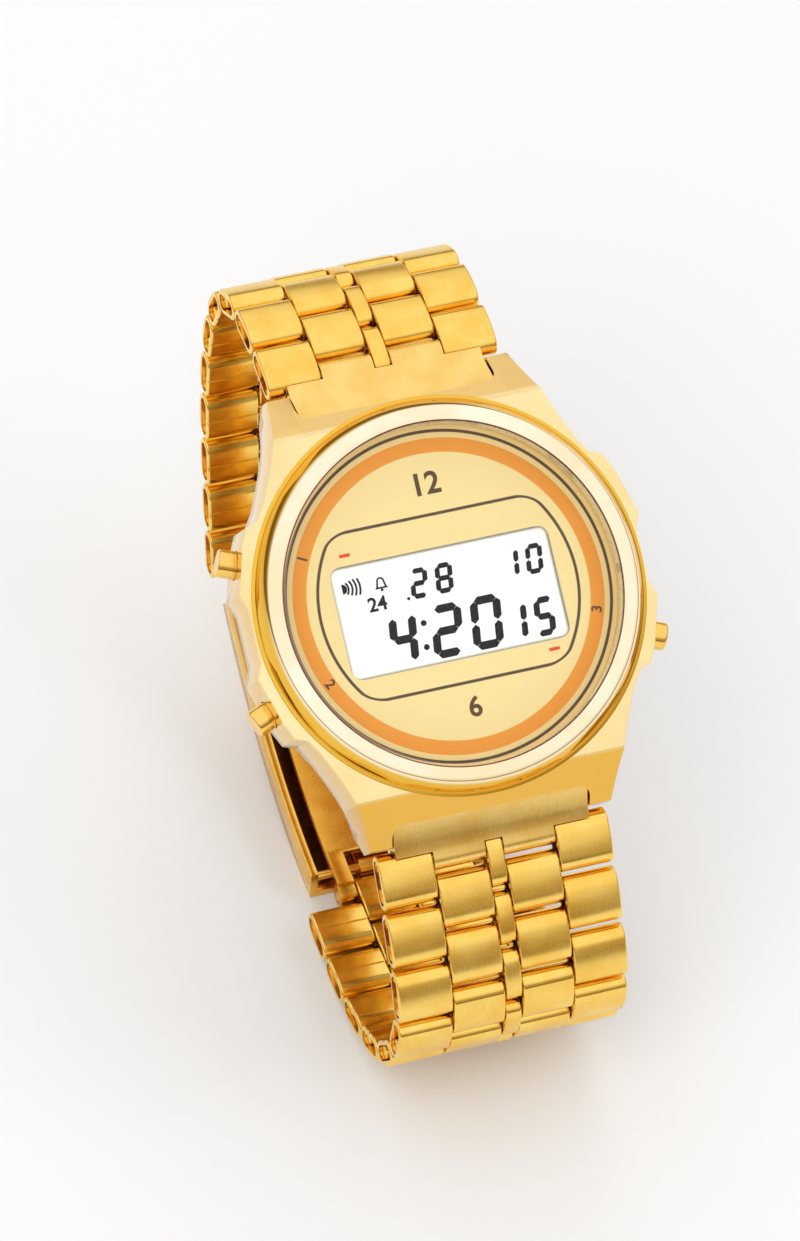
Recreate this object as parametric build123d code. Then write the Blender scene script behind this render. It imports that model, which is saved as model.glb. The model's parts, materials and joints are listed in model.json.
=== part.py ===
from build123d import *
import math
import os

# A gold-tone digital wristwatch that stands on its closed bracelet.
# The head is drawn in its own frame: x to 3 o'clock, y to 12 o'clock, z out of the dial, zero on the dial's face.
# The bracelet is drawn in the y-z plane of the finished part, row by row along its hinge pins.

# Stance
dial_elevation = 57.0

# Case
cavity_radius = 13.7
case_past_bezel = 0.6
case_top = 0.3
case_depth = 5.3
case_outline_shares = (
    (0.792, 0.538),
    (0.832, 0.486),
    (0.89, 0.467),
    (0.934, 0.386),
    (1.0, 0.183),
    (0.986, 0.151),
    (0.971, 0.115),
)
horn_half_width = 10.45
horn_waist = 0.3
case_end_slope = 2.1
lug_tip_drop = 3.7
lug_heel_drop = 6.9
lug_tip_rise = 0.5
lug_heel_gap = 0.4
lug_bar_gap = 2.75
lug_bar_drop = 5.15
lug_bar_radius = 0.5
lug_bar_seat = 1.0
lug_past_bar = 1.6
slot_behind_bar = 1.15
slot_half_width = 8.6
dial_seat_ledge = 0.95
dial_seat_depth = 0.45
running_clearance = 0.05
cut_overrun = 1.0

# Bezel and crystal
bezel_width = 1.85
bezel_flange_bottom = 0.05
bezel_step_height = 0.45
bezel_step_width = 0.35
bezel_crown_height = 2.1
bezel_crown_inset = 1.25
bezel_lip_height = 1.85
crystal_past_seat = 0.2
crystal_seat_width = 0.55
crystal_seat_height = 0.6
crystal_top = 1.9
crystal_bevel = 0.35
gasket_thickness = 0.18

# Dial and what lies under it
dial_thickness = 0.4
window_width_share = 1.25
window_height_share = 0.597
window_corner = 0.5
window_drop = 0.57
lcd_border = 1.08
lcd_thickness = 1.3
layer_gap = 0.05
strip_end_gap = 1.2
strip_width = 1.2
frame_gap = 0.1
frame_skirt = 0.6
frame_plate_bottom = 2.25
board_thickness = 0.6
battery_radius = 10.0
battery_thickness = 1.6

# Case back
back_rim = 0.45
back_corner = 9.0
back_thickness = 1.1
back_edge_bevel = 0.25
screw_radius = 0.5
screw_head_radius = 0.85
screw_head_height = 0.45
screw_length = 2.6
seal_gap = 0.35
seal_width = 0.3
seal_height = 0.4

# Pushers
pusher_angle = 21.0
pusher_depth = 2.7
pusher_stand = 1.9
pusher_cap_radius = 1.175
pusher_cap_length = 2.3
pusher_stem_radius = 0.6
pusher_stem_gap = 0.8
pusher_edge = 0.2
pusher_well_depth = 1.4
pusher_well_clearance = 0.07

# Places that follow from the module cavity, from the dial's seat out to the case and the lugs
dial_seat_radius = cavity_radius + dial_seat_ledge
dial_radius = dial_seat_radius - running_clearance
window_width = dial_radius * window_width_share
window_height = dial_radius * window_height_share
lcd_width = window_width + 2 * lcd_border
lcd_height = window_height + 2 * lcd_border
frame_radius = cavity_radius - frame_gap
crystal_radius = dial_seat_radius + crystal_past_seat
bezel_inner_radius = crystal_radius - crystal_seat_width
bezel_outer_radius = crystal_radius + bezel_width
bezel_crown_radius = bezel_outer_radius - bezel_crown_inset
case_half_width = bezel_outer_radius + case_past_bezel
top_flat_reach = case_half_width - case_end_slope
pusher_tip = case_half_width + pusher_stand
pusher_well_bottom = case_half_width - pusher_well_depth
pusher_stem_end = cavity_radius + pusher_stem_gap
seal_inner = cavity_radius + seal_gap
seal_outer = seal_inner + seal_width
back_half_width = seal_outer + back_rim
back_corner_reach = (back_half_width - back_corner) * math.sqrt(2) + back_corner
screw_reach = (seal_outer + back_corner_reach) / 2
lug_heel_reach = back_half_width + lug_heel_gap
lug_bar_reach = back_half_width + lug_bar_gap
lug_reach = lug_bar_reach + lug_past_bar
slot_start = lug_bar_reach - slot_behind_bar

# Bracelet
row_spacing = 2.5
link_radius = 1.1
link_arch = 0.12
link_wall = 0.45
pin_radius = 0.6
fold_angle = 50.0
band_width = 20.0
outer_width = 4.65
centre_width = 1.4
side_gap = 0.08
pin_recess = 0.3
first_pin_past_bar = 2.95
first_pin_drop = 5.2
upper_lead = 20.0
lower_lead = 12.0
upper_turn_shares = ((3, 0.7), (1, 1.5), (3, 2.2), (2, 1.4), (4, 0.8), (7, 0.5))
lower_turn_shares = ((4, 0.35), (1, 1.2), (3, 2.4), (3, 1.5), (5, 0.9), (2, 0.0))
first_pin_reach = lug_bar_reach + first_pin_past_bar

# End links
end_link_clearance = 0.15
end_link_top_drop = 1.25
end_link_edge_gap = 0.15

# Clasp
clasp_radius = 42.0
clasp_lean = 4.0
clasp_span = 31.5
clasp_sheet = 0.7
clasp_layer_gap = 0.15
blade_sheet = 0.65
cover_half_width = 8.9
flange_depth = 2.9
flange_wall = 0.7
knuckle_radius = 0.75
clasp_pin_radius = 0.4
hinge_inset = 2.4
cover_end_gap = 1.45
middle_half_width = 4.3
middle_knuckle_half_width = 2.0
lower_half_width = 6.9
ear_gap = 0.13
ear_mouth_angle = 70.0
bar_tip_radius = 0.5
window_margin = 0.2


def in_loop(reach, drop):
    """Turn a place on the dial's side view into y and z of the finished part."""
    lean = math.radians(dial_elevation)
    return (
        reach * math.sin(lean) + drop * math.cos(lean),
        reach * math.cos(lean) - drop * math.sin(lean),
    )


def prism(face, x_from, x_to):
    """Push a side-view face along x, from one place to another."""
    return extrude(Plane.YZ.offset(x_from) * face, x_to - x_from)


def pair(face, x_from, x_to):
    """The same prism on both sides of the middle."""
    right = prism(face, x_from, x_to)
    return [right, mirror(right, Plane.YZ)]


def rod(place, radius, x_from, x_to):
    """A round bar along x, at a place of the side view."""
    return prism(Pos(place[0], place[1]) * Circle(radius), x_from, x_to)


def group(shapes):
    """Several solids that share one node."""
    solids = [solid for shape in shapes for solid in shape.solids()]
    return Compound(solids)


# Case

def case_outline():
    """The case seen from the front, from four mirrored quarters."""
    quarter = [(share_x * case_half_width, share_y * lug_reach) for share_x, share_y in case_outline_shares]
    tip = (horn_half_width, lug_reach)
    shoulder = quarter[0]
    waist = ((tip[0] + shoulder[0]) / 2 - horn_waist, (tip[1] + shoulder[1]) / 2)
    edges = []
    for side in (1, -1):
        for end in (1, -1):
            edges += ThreePointArc(
                (side * tip[0], end * tip[1]),
                (side * waist[0], end * waist[1]),
                (side * shoulder[0], end * shoulder[1]),
            ).edges()
            flank = [(side * x, end * y) for x, y in quarter] + [(side * quarter[-1][0], 0)]
            edges += Polyline(*flank).edges()
        edges += Line((-tip[0], side * tip[1]), (tip[0], side * tip[1])).edges()
    return make_face(edges)


def case_side_profile():
    """The case seen from 3 o'clock: flat top, sloping ends, and lugs that drop below the floor."""
    half = [
        (top_flat_reach, case_top),
        (lug_reach, -lug_tip_drop),
        (lug_reach, lug_tip_rise - lug_heel_drop),
        (lug_bar_reach, -lug_heel_drop),
        (lug_heel_reach, -case_depth),
    ]
    return make_face(Polyline(*half, *[(-y, z) for y, z in reversed(half)], close=True).edges())


def pusher_plane(angle):
    """A plane on the head's axis at pusher height whose normal runs out along the pusher."""
    return Plane(
        origin=(0, 0, -pusher_depth),
        x_dir=(0, 0, 1),
        z_dir=(math.cos(math.radians(angle)), math.sin(math.radians(angle)), 0),
    )


pusher_angles = {
    "pusher_lower_right": -pusher_angle,
    "pusher_upper_left": 180 - pusher_angle,
    "pusher_lower_left": 180 + pusher_angle,
}


def screw_places():
    """The four case back screws, on the diagonals."""
    return [Rotation(0, 0, angle) * Pos(screw_reach, 0) for angle in (45, 135, 225, 315)]


def case():
    """The middle case with its lugs, dial seat, module cavity, pusher wells and screw holes."""
    height = case_top + lug_heel_drop
    body = extrude(Pos(0, 0, -lug_heel_drop) * case_outline(), height)
    body &= prism(case_side_profile(), -case_half_width - cut_overrun, case_half_width + cut_overrun)
    slot_length = lug_reach - slot_start + cut_overrun
    for end in (1, -1):
        slot = Box(2 * slot_half_width, slot_length, 2 * lug_heel_drop + cut_overrun)
        body -= Pos(0, end * (slot_start + slot_length / 2), -case_depth / 2) * slot
        place = (end * lug_bar_reach, -lug_bar_drop)
        seat = slot_half_width + lug_bar_seat + running_clearance
        body -= rod(place, lug_bar_radius + running_clearance, -seat, seat)
    seat_height = case_top + dial_seat_depth
    body -= Pos(0, 0, case_top - seat_height / 2) * Cylinder(dial_seat_radius, seat_height)
    body -= Pos(0, 0, -case_depth / 2) * Cylinder(cavity_radius, case_depth)
    groove = Cylinder(seal_outer + running_clearance, seal_height)
    groove -= Cylinder(seal_inner - running_clearance, seal_height)
    body -= Pos(0, 0, seal_height / 2 - case_depth) * groove
    for place in screw_places():
        hole_length = screw_length - back_thickness + cut_overrun / 2
        hole = Cylinder(screw_radius + running_clearance, hole_length)
        body -= place * Pos(0, 0, hole_length / 2 - case_depth) * hole
    for angle in pusher_angles.values():
        plane = pusher_plane(angle)
        well_length = pusher_tip - pusher_well_bottom
        well = Cylinder(pusher_cap_radius + pusher_well_clearance, well_length)
        body -= plane * Pos(0, 0, pusher_well_bottom + well_length / 2) * well
        bore_length = pusher_tip - cavity_radius + cut_overrun
        bore = Cylinder(pusher_stem_radius + running_clearance, bore_length)
        body -= plane * Pos(0, 0, pusher_tip - bore_length / 2) * bore
    return body


# Bezel, crystal and seals

def ring(profile):
    """Revolve a radius-height face about the head's axis."""
    return revolve(Plane.XZ * profile, Axis.Z, 360)


def band(inner, outer, bottom, top):
    """A plain square-sectioned ring."""
    return ring(Pos((inner + outer) / 2, (bottom + top) / 2) * Rectangle(outer - inner, top - bottom))


def bezel():
    """The polished bezel: a stepped foot, a domed crown and a seat for the crystal."""
    step_top = case_top + bezel_step_height
    step_inner = bezel_outer_radius - bezel_step_width
    seat_wall = crystal_radius + running_clearance
    flange_outer = dial_seat_radius - running_clearance
    crown = (bezel_crown_radius, bezel_crown_height)
    shoulder = ((step_inner + crown[0]) / 2, (step_top + crown[1]) / 2)
    swell = (crown[1] - step_top) / 4
    lines = Polyline(
        (seat_wall, bezel_lip_height),
        (seat_wall, crystal_seat_height),
        (bezel_inner_radius, crystal_seat_height),
        (bezel_inner_radius, bezel_flange_bottom),
        (flange_outer, bezel_flange_bottom),
        (flange_outer, case_top),
        (bezel_outer_radius, case_top),
        (bezel_outer_radius, step_top),
        (step_inner, step_top),
    )
    dome = ThreePointArc((step_inner, step_top), (shoulder[0] + swell, shoulder[1] + swell / 2), crown)
    lip = Line(crown, (seat_wall, bezel_lip_height))
    return ring(make_face(lines.edges() + dome.edges() + lip.edges()))


def crystal():
    """The flat mineral crystal with its bevelled edge."""
    bottom = crystal_seat_height + gasket_thickness
    return ring(make_face(Polyline(
        (0, bottom),
        (crystal_radius, bottom),
        (crystal_radius, crystal_top - crystal_bevel),
        (crystal_radius - crystal_bevel, crystal_top),
        (0, crystal_top),
        close=True,
    ).edges()))


def crystal_gasket():
    """The seal between the crystal and the bezel's seat."""
    return band(bezel_inner_radius, crystal_radius, crystal_seat_height, crystal_seat_height + gasket_thickness)


# Dial, display and module

def slab(face, top, thickness):
    """A flat piece hung down from a height."""
    return extrude(Pos(0, 0, top - thickness) * face, thickness)


def dial():
    """The printed dial plate with its display window."""
    plate = slab(Circle(dial_radius), 0, dial_thickness)
    window = RectangleRounded(window_width, window_height, window_corner)
    return plate - slab(Pos(0, -window_drop) * window, cut_overrun, 2 * cut_overrun)


lcd_top = -dial_thickness - layer_gap


def lcd_panel():
    """The liquid crystal display glass under the window."""
    return slab(Pos(0, -window_drop) * Rectangle(lcd_width, lcd_height), lcd_top, lcd_thickness)


def lcd_connectors():
    """Two rubber connector strips that join the display to the circuit board."""
    top = lcd_top - lcd_thickness
    height = top + frame_plate_bottom
    offset = (lcd_height - strip_width) / 2
    length = lcd_width - 2 * strip_end_gap
    strips = [
        slab(Pos(0, side * offset - window_drop) * Rectangle(length, strip_width), top, height)
        for side in (1, -1)
    ]
    return group(strips)


def module_frame():
    """The black moulded frame that carries the display, the board and the cell."""
    body = slab(Circle(frame_radius), lcd_top, case_depth + lcd_top - layer_gap)
    pocket = Rectangle(lcd_width + 2 * layer_gap, lcd_height + 2 * layer_gap)
    body -= slab(Pos(0, -window_drop) * pocket, cut_overrun, frame_plate_bottom + 2 * cut_overrun)
    recess = case_depth - frame_plate_bottom + cut_overrun
    return body - slab(Circle(frame_radius - frame_skirt), -frame_plate_bottom, recess)


def circuit_board():
    """The round circuit board."""
    return slab(Circle(frame_radius - frame_skirt - layer_gap), -frame_plate_bottom - layer_gap, board_thickness)


battery_top = -frame_plate_bottom - 2 * layer_gap - board_thickness


def battery():
    """The lithium coin cell."""
    cell = slab(Circle(battery_radius), battery_top, battery_thickness)
    return chamfer(cell.edges().sort_by(Axis.Z)[0], back_edge_bevel)


# Case back

def case_back():
    """The steel back plate, with a bevelled edge and four countersunk holes."""
    outline = RectangleRounded(2 * back_half_width, 2 * back_half_width, back_corner)
    plate = slab(outline, -case_depth, back_thickness)
    plate = chamfer(plate.faces().sort_by(Axis.Z)[0].edges(), back_edge_bevel)
    for place in screw_places():
        hole = Cylinder(screw_radius + running_clearance, 2 * back_thickness)
        head = Cylinder(screw_head_radius + running_clearance, screw_head_height)
        plate -= place * Pos(0, 0, -case_depth - back_thickness / 2) * hole
        plate -= place * Pos(0, 0, -case_depth - back_thickness + screw_head_height / 2) * head
    return plate


def case_back_screws():
    """Four small slotted screws, flush with the back plate."""
    screws = []
    floor = -case_depth - back_thickness
    for place in screw_places():
        shank = Cylinder(screw_radius, screw_length)
        head = Cylinder(screw_head_radius, screw_head_height - running_clearance)
        screw = Pos(0, 0, screw_length / 2) * shank + Pos(0, 0, (screw_head_height - running_clearance) / 2) * head
        screws.append(place * Pos(0, 0, floor) * screw)
    return group(screws)


def case_back_gasket():
    """The rubber seal in the groove of the case floor."""
    return band(seal_inner, seal_outer, -case_depth, -case_depth + seal_height - running_clearance)


def pusher(angle):
    """A round pusher: a cap that slides in its well and a stem that reaches the switch."""
    cap = Pos(0, 0, pusher_tip - pusher_cap_length / 2) * Cylinder(pusher_cap_radius, pusher_cap_length)
    cap = chamfer(cap.edges().sort_by(Axis.Z)[-1], pusher_edge)
    stem_length = pusher_tip - pusher_cap_length - pusher_stem_end
    stem = Pos(0, 0, pusher_stem_end + stem_length / 2) * Cylinder(pusher_stem_radius, stem_length)
    return pusher_plane(angle) * (cap + stem)


# End links

def end_link(end, lead):
    """The shaped plate between the lugs, with two hinge tabs and the first hinge pin."""
    first = (first_pin_reach, -first_pin_drop)
    start = slot_start + end_link_clearance
    slope = (case_top + lug_tip_drop) / (lug_reach - top_flat_reach)
    knee = lug_reach - end_link_edge_gap
    knee_drop = end_link_top_drop + slope * (knee - start)
    along = (math.cos(math.radians(lead)), -math.sin(math.radians(lead)))
    top = (first[0] - along[1] * link_radius, first[1] + along[0] * link_radius)
    tip = (first[0] + along[0] * link_radius, first[1] + along[1] * link_radius)
    bottom = (first[0] + along[1] * link_radius, first[1] - along[0] * link_radius)
    heel = (lug_bar_reach, -lug_bar_drop - link_radius)
    heel_side = (start, -lug_bar_drop)
    heel_turn = (lug_bar_reach - (lug_bar_reach - start) * math.cos(math.radians(45)),
                 -lug_bar_drop - link_radius * math.sin(math.radians(45)))
    edges = Polyline(heel_side, (start, -end_link_top_drop), (knee, -knee_drop), top).edges()
    edges += ThreePointArc(top, tip, bottom).edges()
    edges += Line(bottom, heel).edges()
    edges += ThreePointArc(heel, heel_turn, heel_side).edges()
    section = make_face(edges)
    tab_from, tab_to = inner_places()
    plate_half_width = slot_half_width - end_link_clearance
    relief = rod(first, link_radius + end_link_edge_gap, -plate_half_width, plate_half_width)
    beyond = Pos(0, first[0] + link_radius, first[1]) * Box(
        2 * plate_half_width, 2 * link_radius, 2 * lug_heel_drop)
    plate = prism(section, -plate_half_width, plate_half_width) - relief - beyond
    for tab in pair(section, tab_from, tab_to):
        plate += tab
    plate -= rod((lug_bar_reach, -lug_bar_drop), lug_bar_radius + running_clearance,
                 -plate_half_width, plate_half_width)
    plate -= rod(first, pin_radius + running_clearance, -tab_to, tab_to)
    pin_half = band_width / 2 - pin_recess
    node = group([plate, rod(first, pin_radius, -pin_half, pin_half)])
    return head * node if end > 0 else head * mirror(node, Plane.XZ)


def lug_spring_bars():
    """The two spring bars that hold the end links between the lugs."""
    half = slot_half_width + lug_bar_seat
    return head * group([rod((end * lug_bar_reach, -lug_bar_drop), lug_bar_radius, -half, half) for end in (1, -1)])


# Bracelet rows

def inner_places():
    """Where the inner pieces of a row start and stop along x."""
    start = centre_width / 2 + side_gap
    return start, band_width / 2 - outer_width - side_gap


def link_section():
    """A folded link seen from the side: rolled ends about two pins, an arched face and a hollow."""
    far = row_spacing
    edges = ThreePointArc((0, link_radius), (far / 2, link_radius + link_arch), (far, link_radius)).edges()
    edges += ThreePointArc((far, link_radius), (far + link_radius, 0), (far, -link_radius)).edges()
    edges += Line((far, -link_radius), (0, -link_radius)).edges()
    edges += ThreePointArc((0, -link_radius), (-link_radius, 0), (0, link_radius)).edges()
    bore = link_radius - link_wall
    tip = bore / math.sin(math.radians(fold_angle))
    shoulder = tip - bore / math.tan(math.radians(fold_angle))
    hollow = make_face(Polyline(
        (-tip, 0),
        (-shoulder, bore),
        (far + shoulder, bore),
        (far + tip, 0),
        (far + shoulder, -bore),
        (-shoulder, -bore),
        close=True,
    ).edges())
    return make_face(edges) - hollow


def row_pieces(outer_row, pin_half):
    """One row of links with the pin at its far end: the outer pair and centre, or the inner pair."""
    section = link_section()
    if outer_row:
        pieces = pair(section, band_width / 2 - outer_width, band_width / 2)
        pieces.append(prism(section, -centre_width / 2, centre_width / 2))
    else:
        pieces = pair(section, *inner_places())
    pieces.append(rod((row_spacing, 0), pin_radius, -pin_half, pin_half))
    return group(pieces)


def spread(table):
    """Write a table of counts and shares out row by row."""
    return [share for count, share in table for _ in range(count)]


def chain(start, heading, turns):
    """The pins of a strap and the heading of each row, from the first pin and the turn at each pin."""
    pins, headings = [start], []
    for turn in turns:
        heading += turn
        angle = math.radians(heading)
        y, z = pins[-1]
        pins.append((y + row_spacing * math.cos(angle), z + row_spacing * math.sin(angle)))
        headings.append(heading)
    return pins, headings


def lower_strap():
    """The 6 o'clock strap: it turns until it lies flat, then lifts to meet the leaning clasp."""
    heading = 270 - dial_elevation + lower_lead
    shares = spread(lower_turn_shares)
    turns = [(360 - heading) * share / sum(shares) for share in shares]
    return heading, chain(in_loop(-first_pin_reach, first_pin_drop), heading, turns)


def clasp_centre(bar):
    """The centre of the clasp's curve, above the lower strap's last pin."""
    lean = math.radians(clasp_lean)
    reach = clasp_radius - link_radius - link_arch
    return bar[0] + reach * math.sin(lean), bar[1] + reach * math.cos(lean)


def far_bar(bar):
    """The place of the upper strap's last bar, one clasp span round the curve."""
    centre = clasp_centre(bar)
    reach = clasp_radius - link_radius - link_arch
    angle = clasp_span / clasp_radius - math.radians(clasp_lean)
    return centre[0] + reach * math.sin(angle), centre[1] - reach * math.cos(angle)


def upper_strap(target):
    """The 12 o'clock strap, whose total turn and taper are solved so that it ends on the clasp's bar."""
    heading = 90 - dial_elevation - upper_lead
    shares = spread(upper_turn_shares)
    last = len(shares) - 1
    start = in_loop(first_pin_reach, first_pin_drop)

    def trial(total, taper):
        weights = [share * (1 + taper * (row / last - 0.5)) for row, share in enumerate(shares)]
        strap = chain(start, heading, [total * weight / sum(weights) for weight in weights])
        return strap[0][-1][0] - target[0], strap[0][-1][1] - target[1], strap

    total, taper, nudge = -130.0, 0.0, 1e-4
    for _ in range(60):
        miss_y, miss_z, strap = trial(total, taper)
        if math.hypot(miss_y, miss_z) < nudge * nudge:
            break
        by_total, by_taper = trial(total + nudge, taper), trial(total, taper + nudge)
        a, b = (by_total[0] - miss_y) / nudge, (by_taper[0] - miss_y) / nudge
        c, d = (by_total[1] - miss_z) / nudge, (by_taper[1] - miss_z) / nudge
        step_total = (b * miss_z - d * miss_y) / (a * d - b * c)
        step_taper = (c * miss_y - a * miss_z) / (a * d - b * c)
        ease = max(abs(step_total) / 20, abs(step_taper) / 0.5, 1)
        total += step_total / ease
        taper += step_taper / ease
    return heading, strap


def row_plane(pin, heading, side):
    """The frame of a row: y along the strap and z out of the loop."""
    angle = math.radians(heading)
    return Plane(
        origin=(0, pin[0], pin[1]),
        x_dir=(side, 0, 0),
        z_dir=(0, -side * math.sin(angle), side * math.cos(angle)),
    )


def rows(name, strap, side, last_pin_half):
    """Every row of one strap, outer rows and inner rows in turn."""
    pins, headings = strap
    inner_end = len(headings) - 1
    full = band_width / 2 - pin_recess
    pieces = {True: row_pieces(True, full), False: row_pieces(False, full)}
    last = row_pieces(False, last_pin_half)
    made = {}
    for index, heading in enumerate(headings):
        shape = last if index == inner_end else pieces[index % 2 == 0]
        made[f"{name}_row_{index + 1:02d}"] = row_plane(pins[index], heading, side) * shape
    return made


# Clasp, drawn from the lower strap's last pin: y along the clasp and z outward

bar_depth = link_radius + link_arch


def on_clasp(length, depth):
    """A place of the clasp, from its length along the outer face and its depth below it."""
    angle = length / clasp_radius
    radius = clasp_radius - depth
    return radius * math.sin(angle), radius * math.cos(angle) - clasp_radius + bar_depth


def leaf(length_from, length_to, depth_from, depth_to):
    """A curved strip of the clasp seen from the side."""
    middle = (length_from + length_to) / 2
    near, far = on_clasp(length_from, depth_from), on_clasp(length_to, depth_from)
    near_in, far_in = on_clasp(length_from, depth_to), on_clasp(length_to, depth_to)
    edges = ThreePointArc(near, on_clasp(middle, depth_from), far).edges()
    edges += Line(far, far_in).edges()
    edges += ThreePointArc(far_in, on_clasp(middle, depth_to), near_in).edges()
    edges += Line(near_in, near).edges()
    return make_face(edges)


knuckle_depth = clasp_sheet + 2 * clasp_layer_gap / 3 + knuckle_radius
middle_top = clasp_sheet + clasp_layer_gap
lower_top = knuckle_depth + clasp_pin_radius + clasp_layer_gap
ear_from = band_width / 2 - outer_width - side_gap + ear_gap
far_hinge = clasp_span - hinge_inset


def hinge_notch(length, half_width):
    """Room round a hinge for the other leaf's knuckle."""
    reach = knuckle_radius + window_margin
    return rod(on_clasp(length, knuckle_depth), reach, -half_width, half_width)


def clasp_lower_blade():
    """The inner blade: ears on the lower strap's last pin, a window, and the knuckles of the far hinge."""
    window_end = hinge_inset + knuckle_radius + 2 * window_margin
    blade = prism(leaf(0, far_hinge, lower_top, lower_top + blade_sheet), -lower_half_width, lower_half_width)
    blade -= prism(leaf(-cover_end_gap, window_end, 0, 2 * flange_depth), -ear_from, ear_from)
    for ear in pair(Pos(*on_clasp(0, bar_depth)) * Circle(link_radius), ear_from, lower_half_width):
        blade += ear
    knuckle = Pos(*on_clasp(far_hinge, knuckle_depth)) * Circle(knuckle_radius)
    for side in pair(knuckle, middle_knuckle_half_width + side_gap, middle_half_width):
        blade += side
    blade -= hinge_notch(far_hinge, middle_knuckle_half_width + side_gap)
    blade -= rod(on_clasp(0, bar_depth), pin_radius + running_clearance, -lower_half_width, lower_half_width)
    hinge = on_clasp(far_hinge, knuckle_depth)
    blade -= rod(hinge, clasp_pin_radius + running_clearance, -middle_half_width, middle_half_width)
    return group([blade, rod(hinge, clasp_pin_radius, -middle_half_width, middle_half_width)])


def clasp_middle_blade():
    """The middle blade, between the far hinge and the cover's hinge."""
    blade = prism(leaf(hinge_inset, far_hinge, middle_top, middle_top + blade_sheet),
                  -middle_half_width, middle_half_width)
    notch = hinge_notch(far_hinge, middle_half_width) - hinge_notch(far_hinge, middle_knuckle_half_width)
    blade -= notch
    for length, half in ((hinge_inset, middle_half_width), (far_hinge, middle_knuckle_half_width)):
        place = on_clasp(length, knuckle_depth)
        blade += rod(place, knuckle_radius, -half, half)
        blade -= rod(place, clasp_pin_radius + running_clearance, -half, half)
    return blade


def ear_mouth():
    """The open side of the cover's ears, through which the bar leaves them as the loop opens."""
    y, z = on_clasp(clasp_span, bar_depth)
    heading = -math.degrees(clasp_span / clasp_radius)
    half_bar = bar_tip_radius + running_clearance
    corners = [(y + 3 * link_radius * math.cos(math.radians(heading)),
                z + 3 * link_radius * math.sin(math.radians(heading)))]
    for side in (1, -1):
        way = math.radians(heading + side * ear_mouth_angle)
        y_edge, z_edge = y - side * half_bar * math.sin(way), z + side * half_bar * math.cos(way)
        flank = [(y_edge, z_edge),
                 (y_edge + 2 * link_radius * math.cos(way), z_edge + 2 * link_radius * math.sin(way))]
        corners += flank[::-side]
    return make_face(Polyline(*corners, close=True).edges())


def clasp_cover():
    """The outer cover: a curved plate, two flanges, its hinge pin, and open ears for the upper strap's bar."""
    cover_to = clasp_span - cover_end_gap
    cover = prism(leaf(cover_end_gap, cover_to, 0, clasp_sheet), -cover_half_width, cover_half_width)
    flange = leaf(cover_end_gap, cover_to, 0, flange_depth)
    for side in pair(flange, cover_half_width - flange_wall, cover_half_width):
        cover += side
    ear_lift = bar_depth - link_radius
    arm = leaf(cover_to - link_radius, clasp_span, ear_lift, 2 * bar_depth - link_radius + ear_lift / 2)
    end = Pos(*on_clasp(clasp_span, bar_depth)) * Circle(link_radius)
    for side in pair(arm, ear_from, lower_half_width) + pair(end, ear_from, lower_half_width):
        cover += side
    cover -= rod(on_clasp(clasp_span, bar_depth), bar_tip_radius + running_clearance,
                 -lower_half_width, lower_half_width)
    cover -= prism(ear_mouth(), -lower_half_width - cut_overrun, lower_half_width + cut_overrun)
    hinge = on_clasp(hinge_inset, knuckle_depth)
    cover -= rod(hinge, clasp_pin_radius + running_clearance, -cover_half_width, cover_half_width)
    return group([cover, rod(hinge, clasp_pin_radius, -cover_half_width, cover_half_width)])


# Assembly

head = Plane(
    origin=(0, 0, 0),
    x_dir=(1, 0, 0),
    z_dir=(0, -math.cos(math.radians(dial_elevation)), math.sin(math.radians(dial_elevation))),
)
lower_heading, lower = lower_strap()
lower_bar = lower[0][-1]
upper_heading, upper = upper_strap(far_bar(lower_bar))
clasp_frame = row_plane(lower_bar, -clasp_lean, -1)

nodes = {
    "case": head * case(),
    "bezel": head * bezel(),
    "crystal": head * crystal(),
    "crystal_gasket": head * crystal_gasket(),
    "dial": head * dial(),
    "lcd_panel": head * lcd_panel(),
    "lcd_connectors": head * lcd_connectors(),
    "module_frame": head * module_frame(),
    "circuit_board": head * circuit_board(),
    "battery": head * battery(),
    "case_back": head * case_back(),
    "case_back_gasket": head * case_back_gasket(),
    "case_back_screws": head * case_back_screws(),
    "end_link_upper": end_link(1, upper_lead),
    "end_link_lower": end_link(-1, lower_lead),
    "lug_spring_bars": lug_spring_bars(),
    "clasp_cover": clasp_frame * clasp_cover(),
    "clasp_middle_blade": clasp_frame * clasp_middle_blade(),
    "clasp_lower_blade": clasp_frame * clasp_lower_blade(),
}
for name, angle in pusher_angles.items():
    nodes[name] = head * pusher(angle)
inner_edge = inner_places()[1]
nodes.update(rows("upper", upper, 1, inner_edge))
nodes.update(rows("lower", lower, -1, lower_half_width))

box = Compound([solid for shape in nodes.values() for solid in shape.solids()]).bounding_box()
shift = Pos(-(box.min.X + box.max.X) / 2, -(box.min.Y + box.max.Y) / 2, -box.min.Z)

os.makedirs("parts", exist_ok=True)
for name, shape in nodes.items():
    export_step(shift * shape, f"parts/{name}.step")

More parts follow.
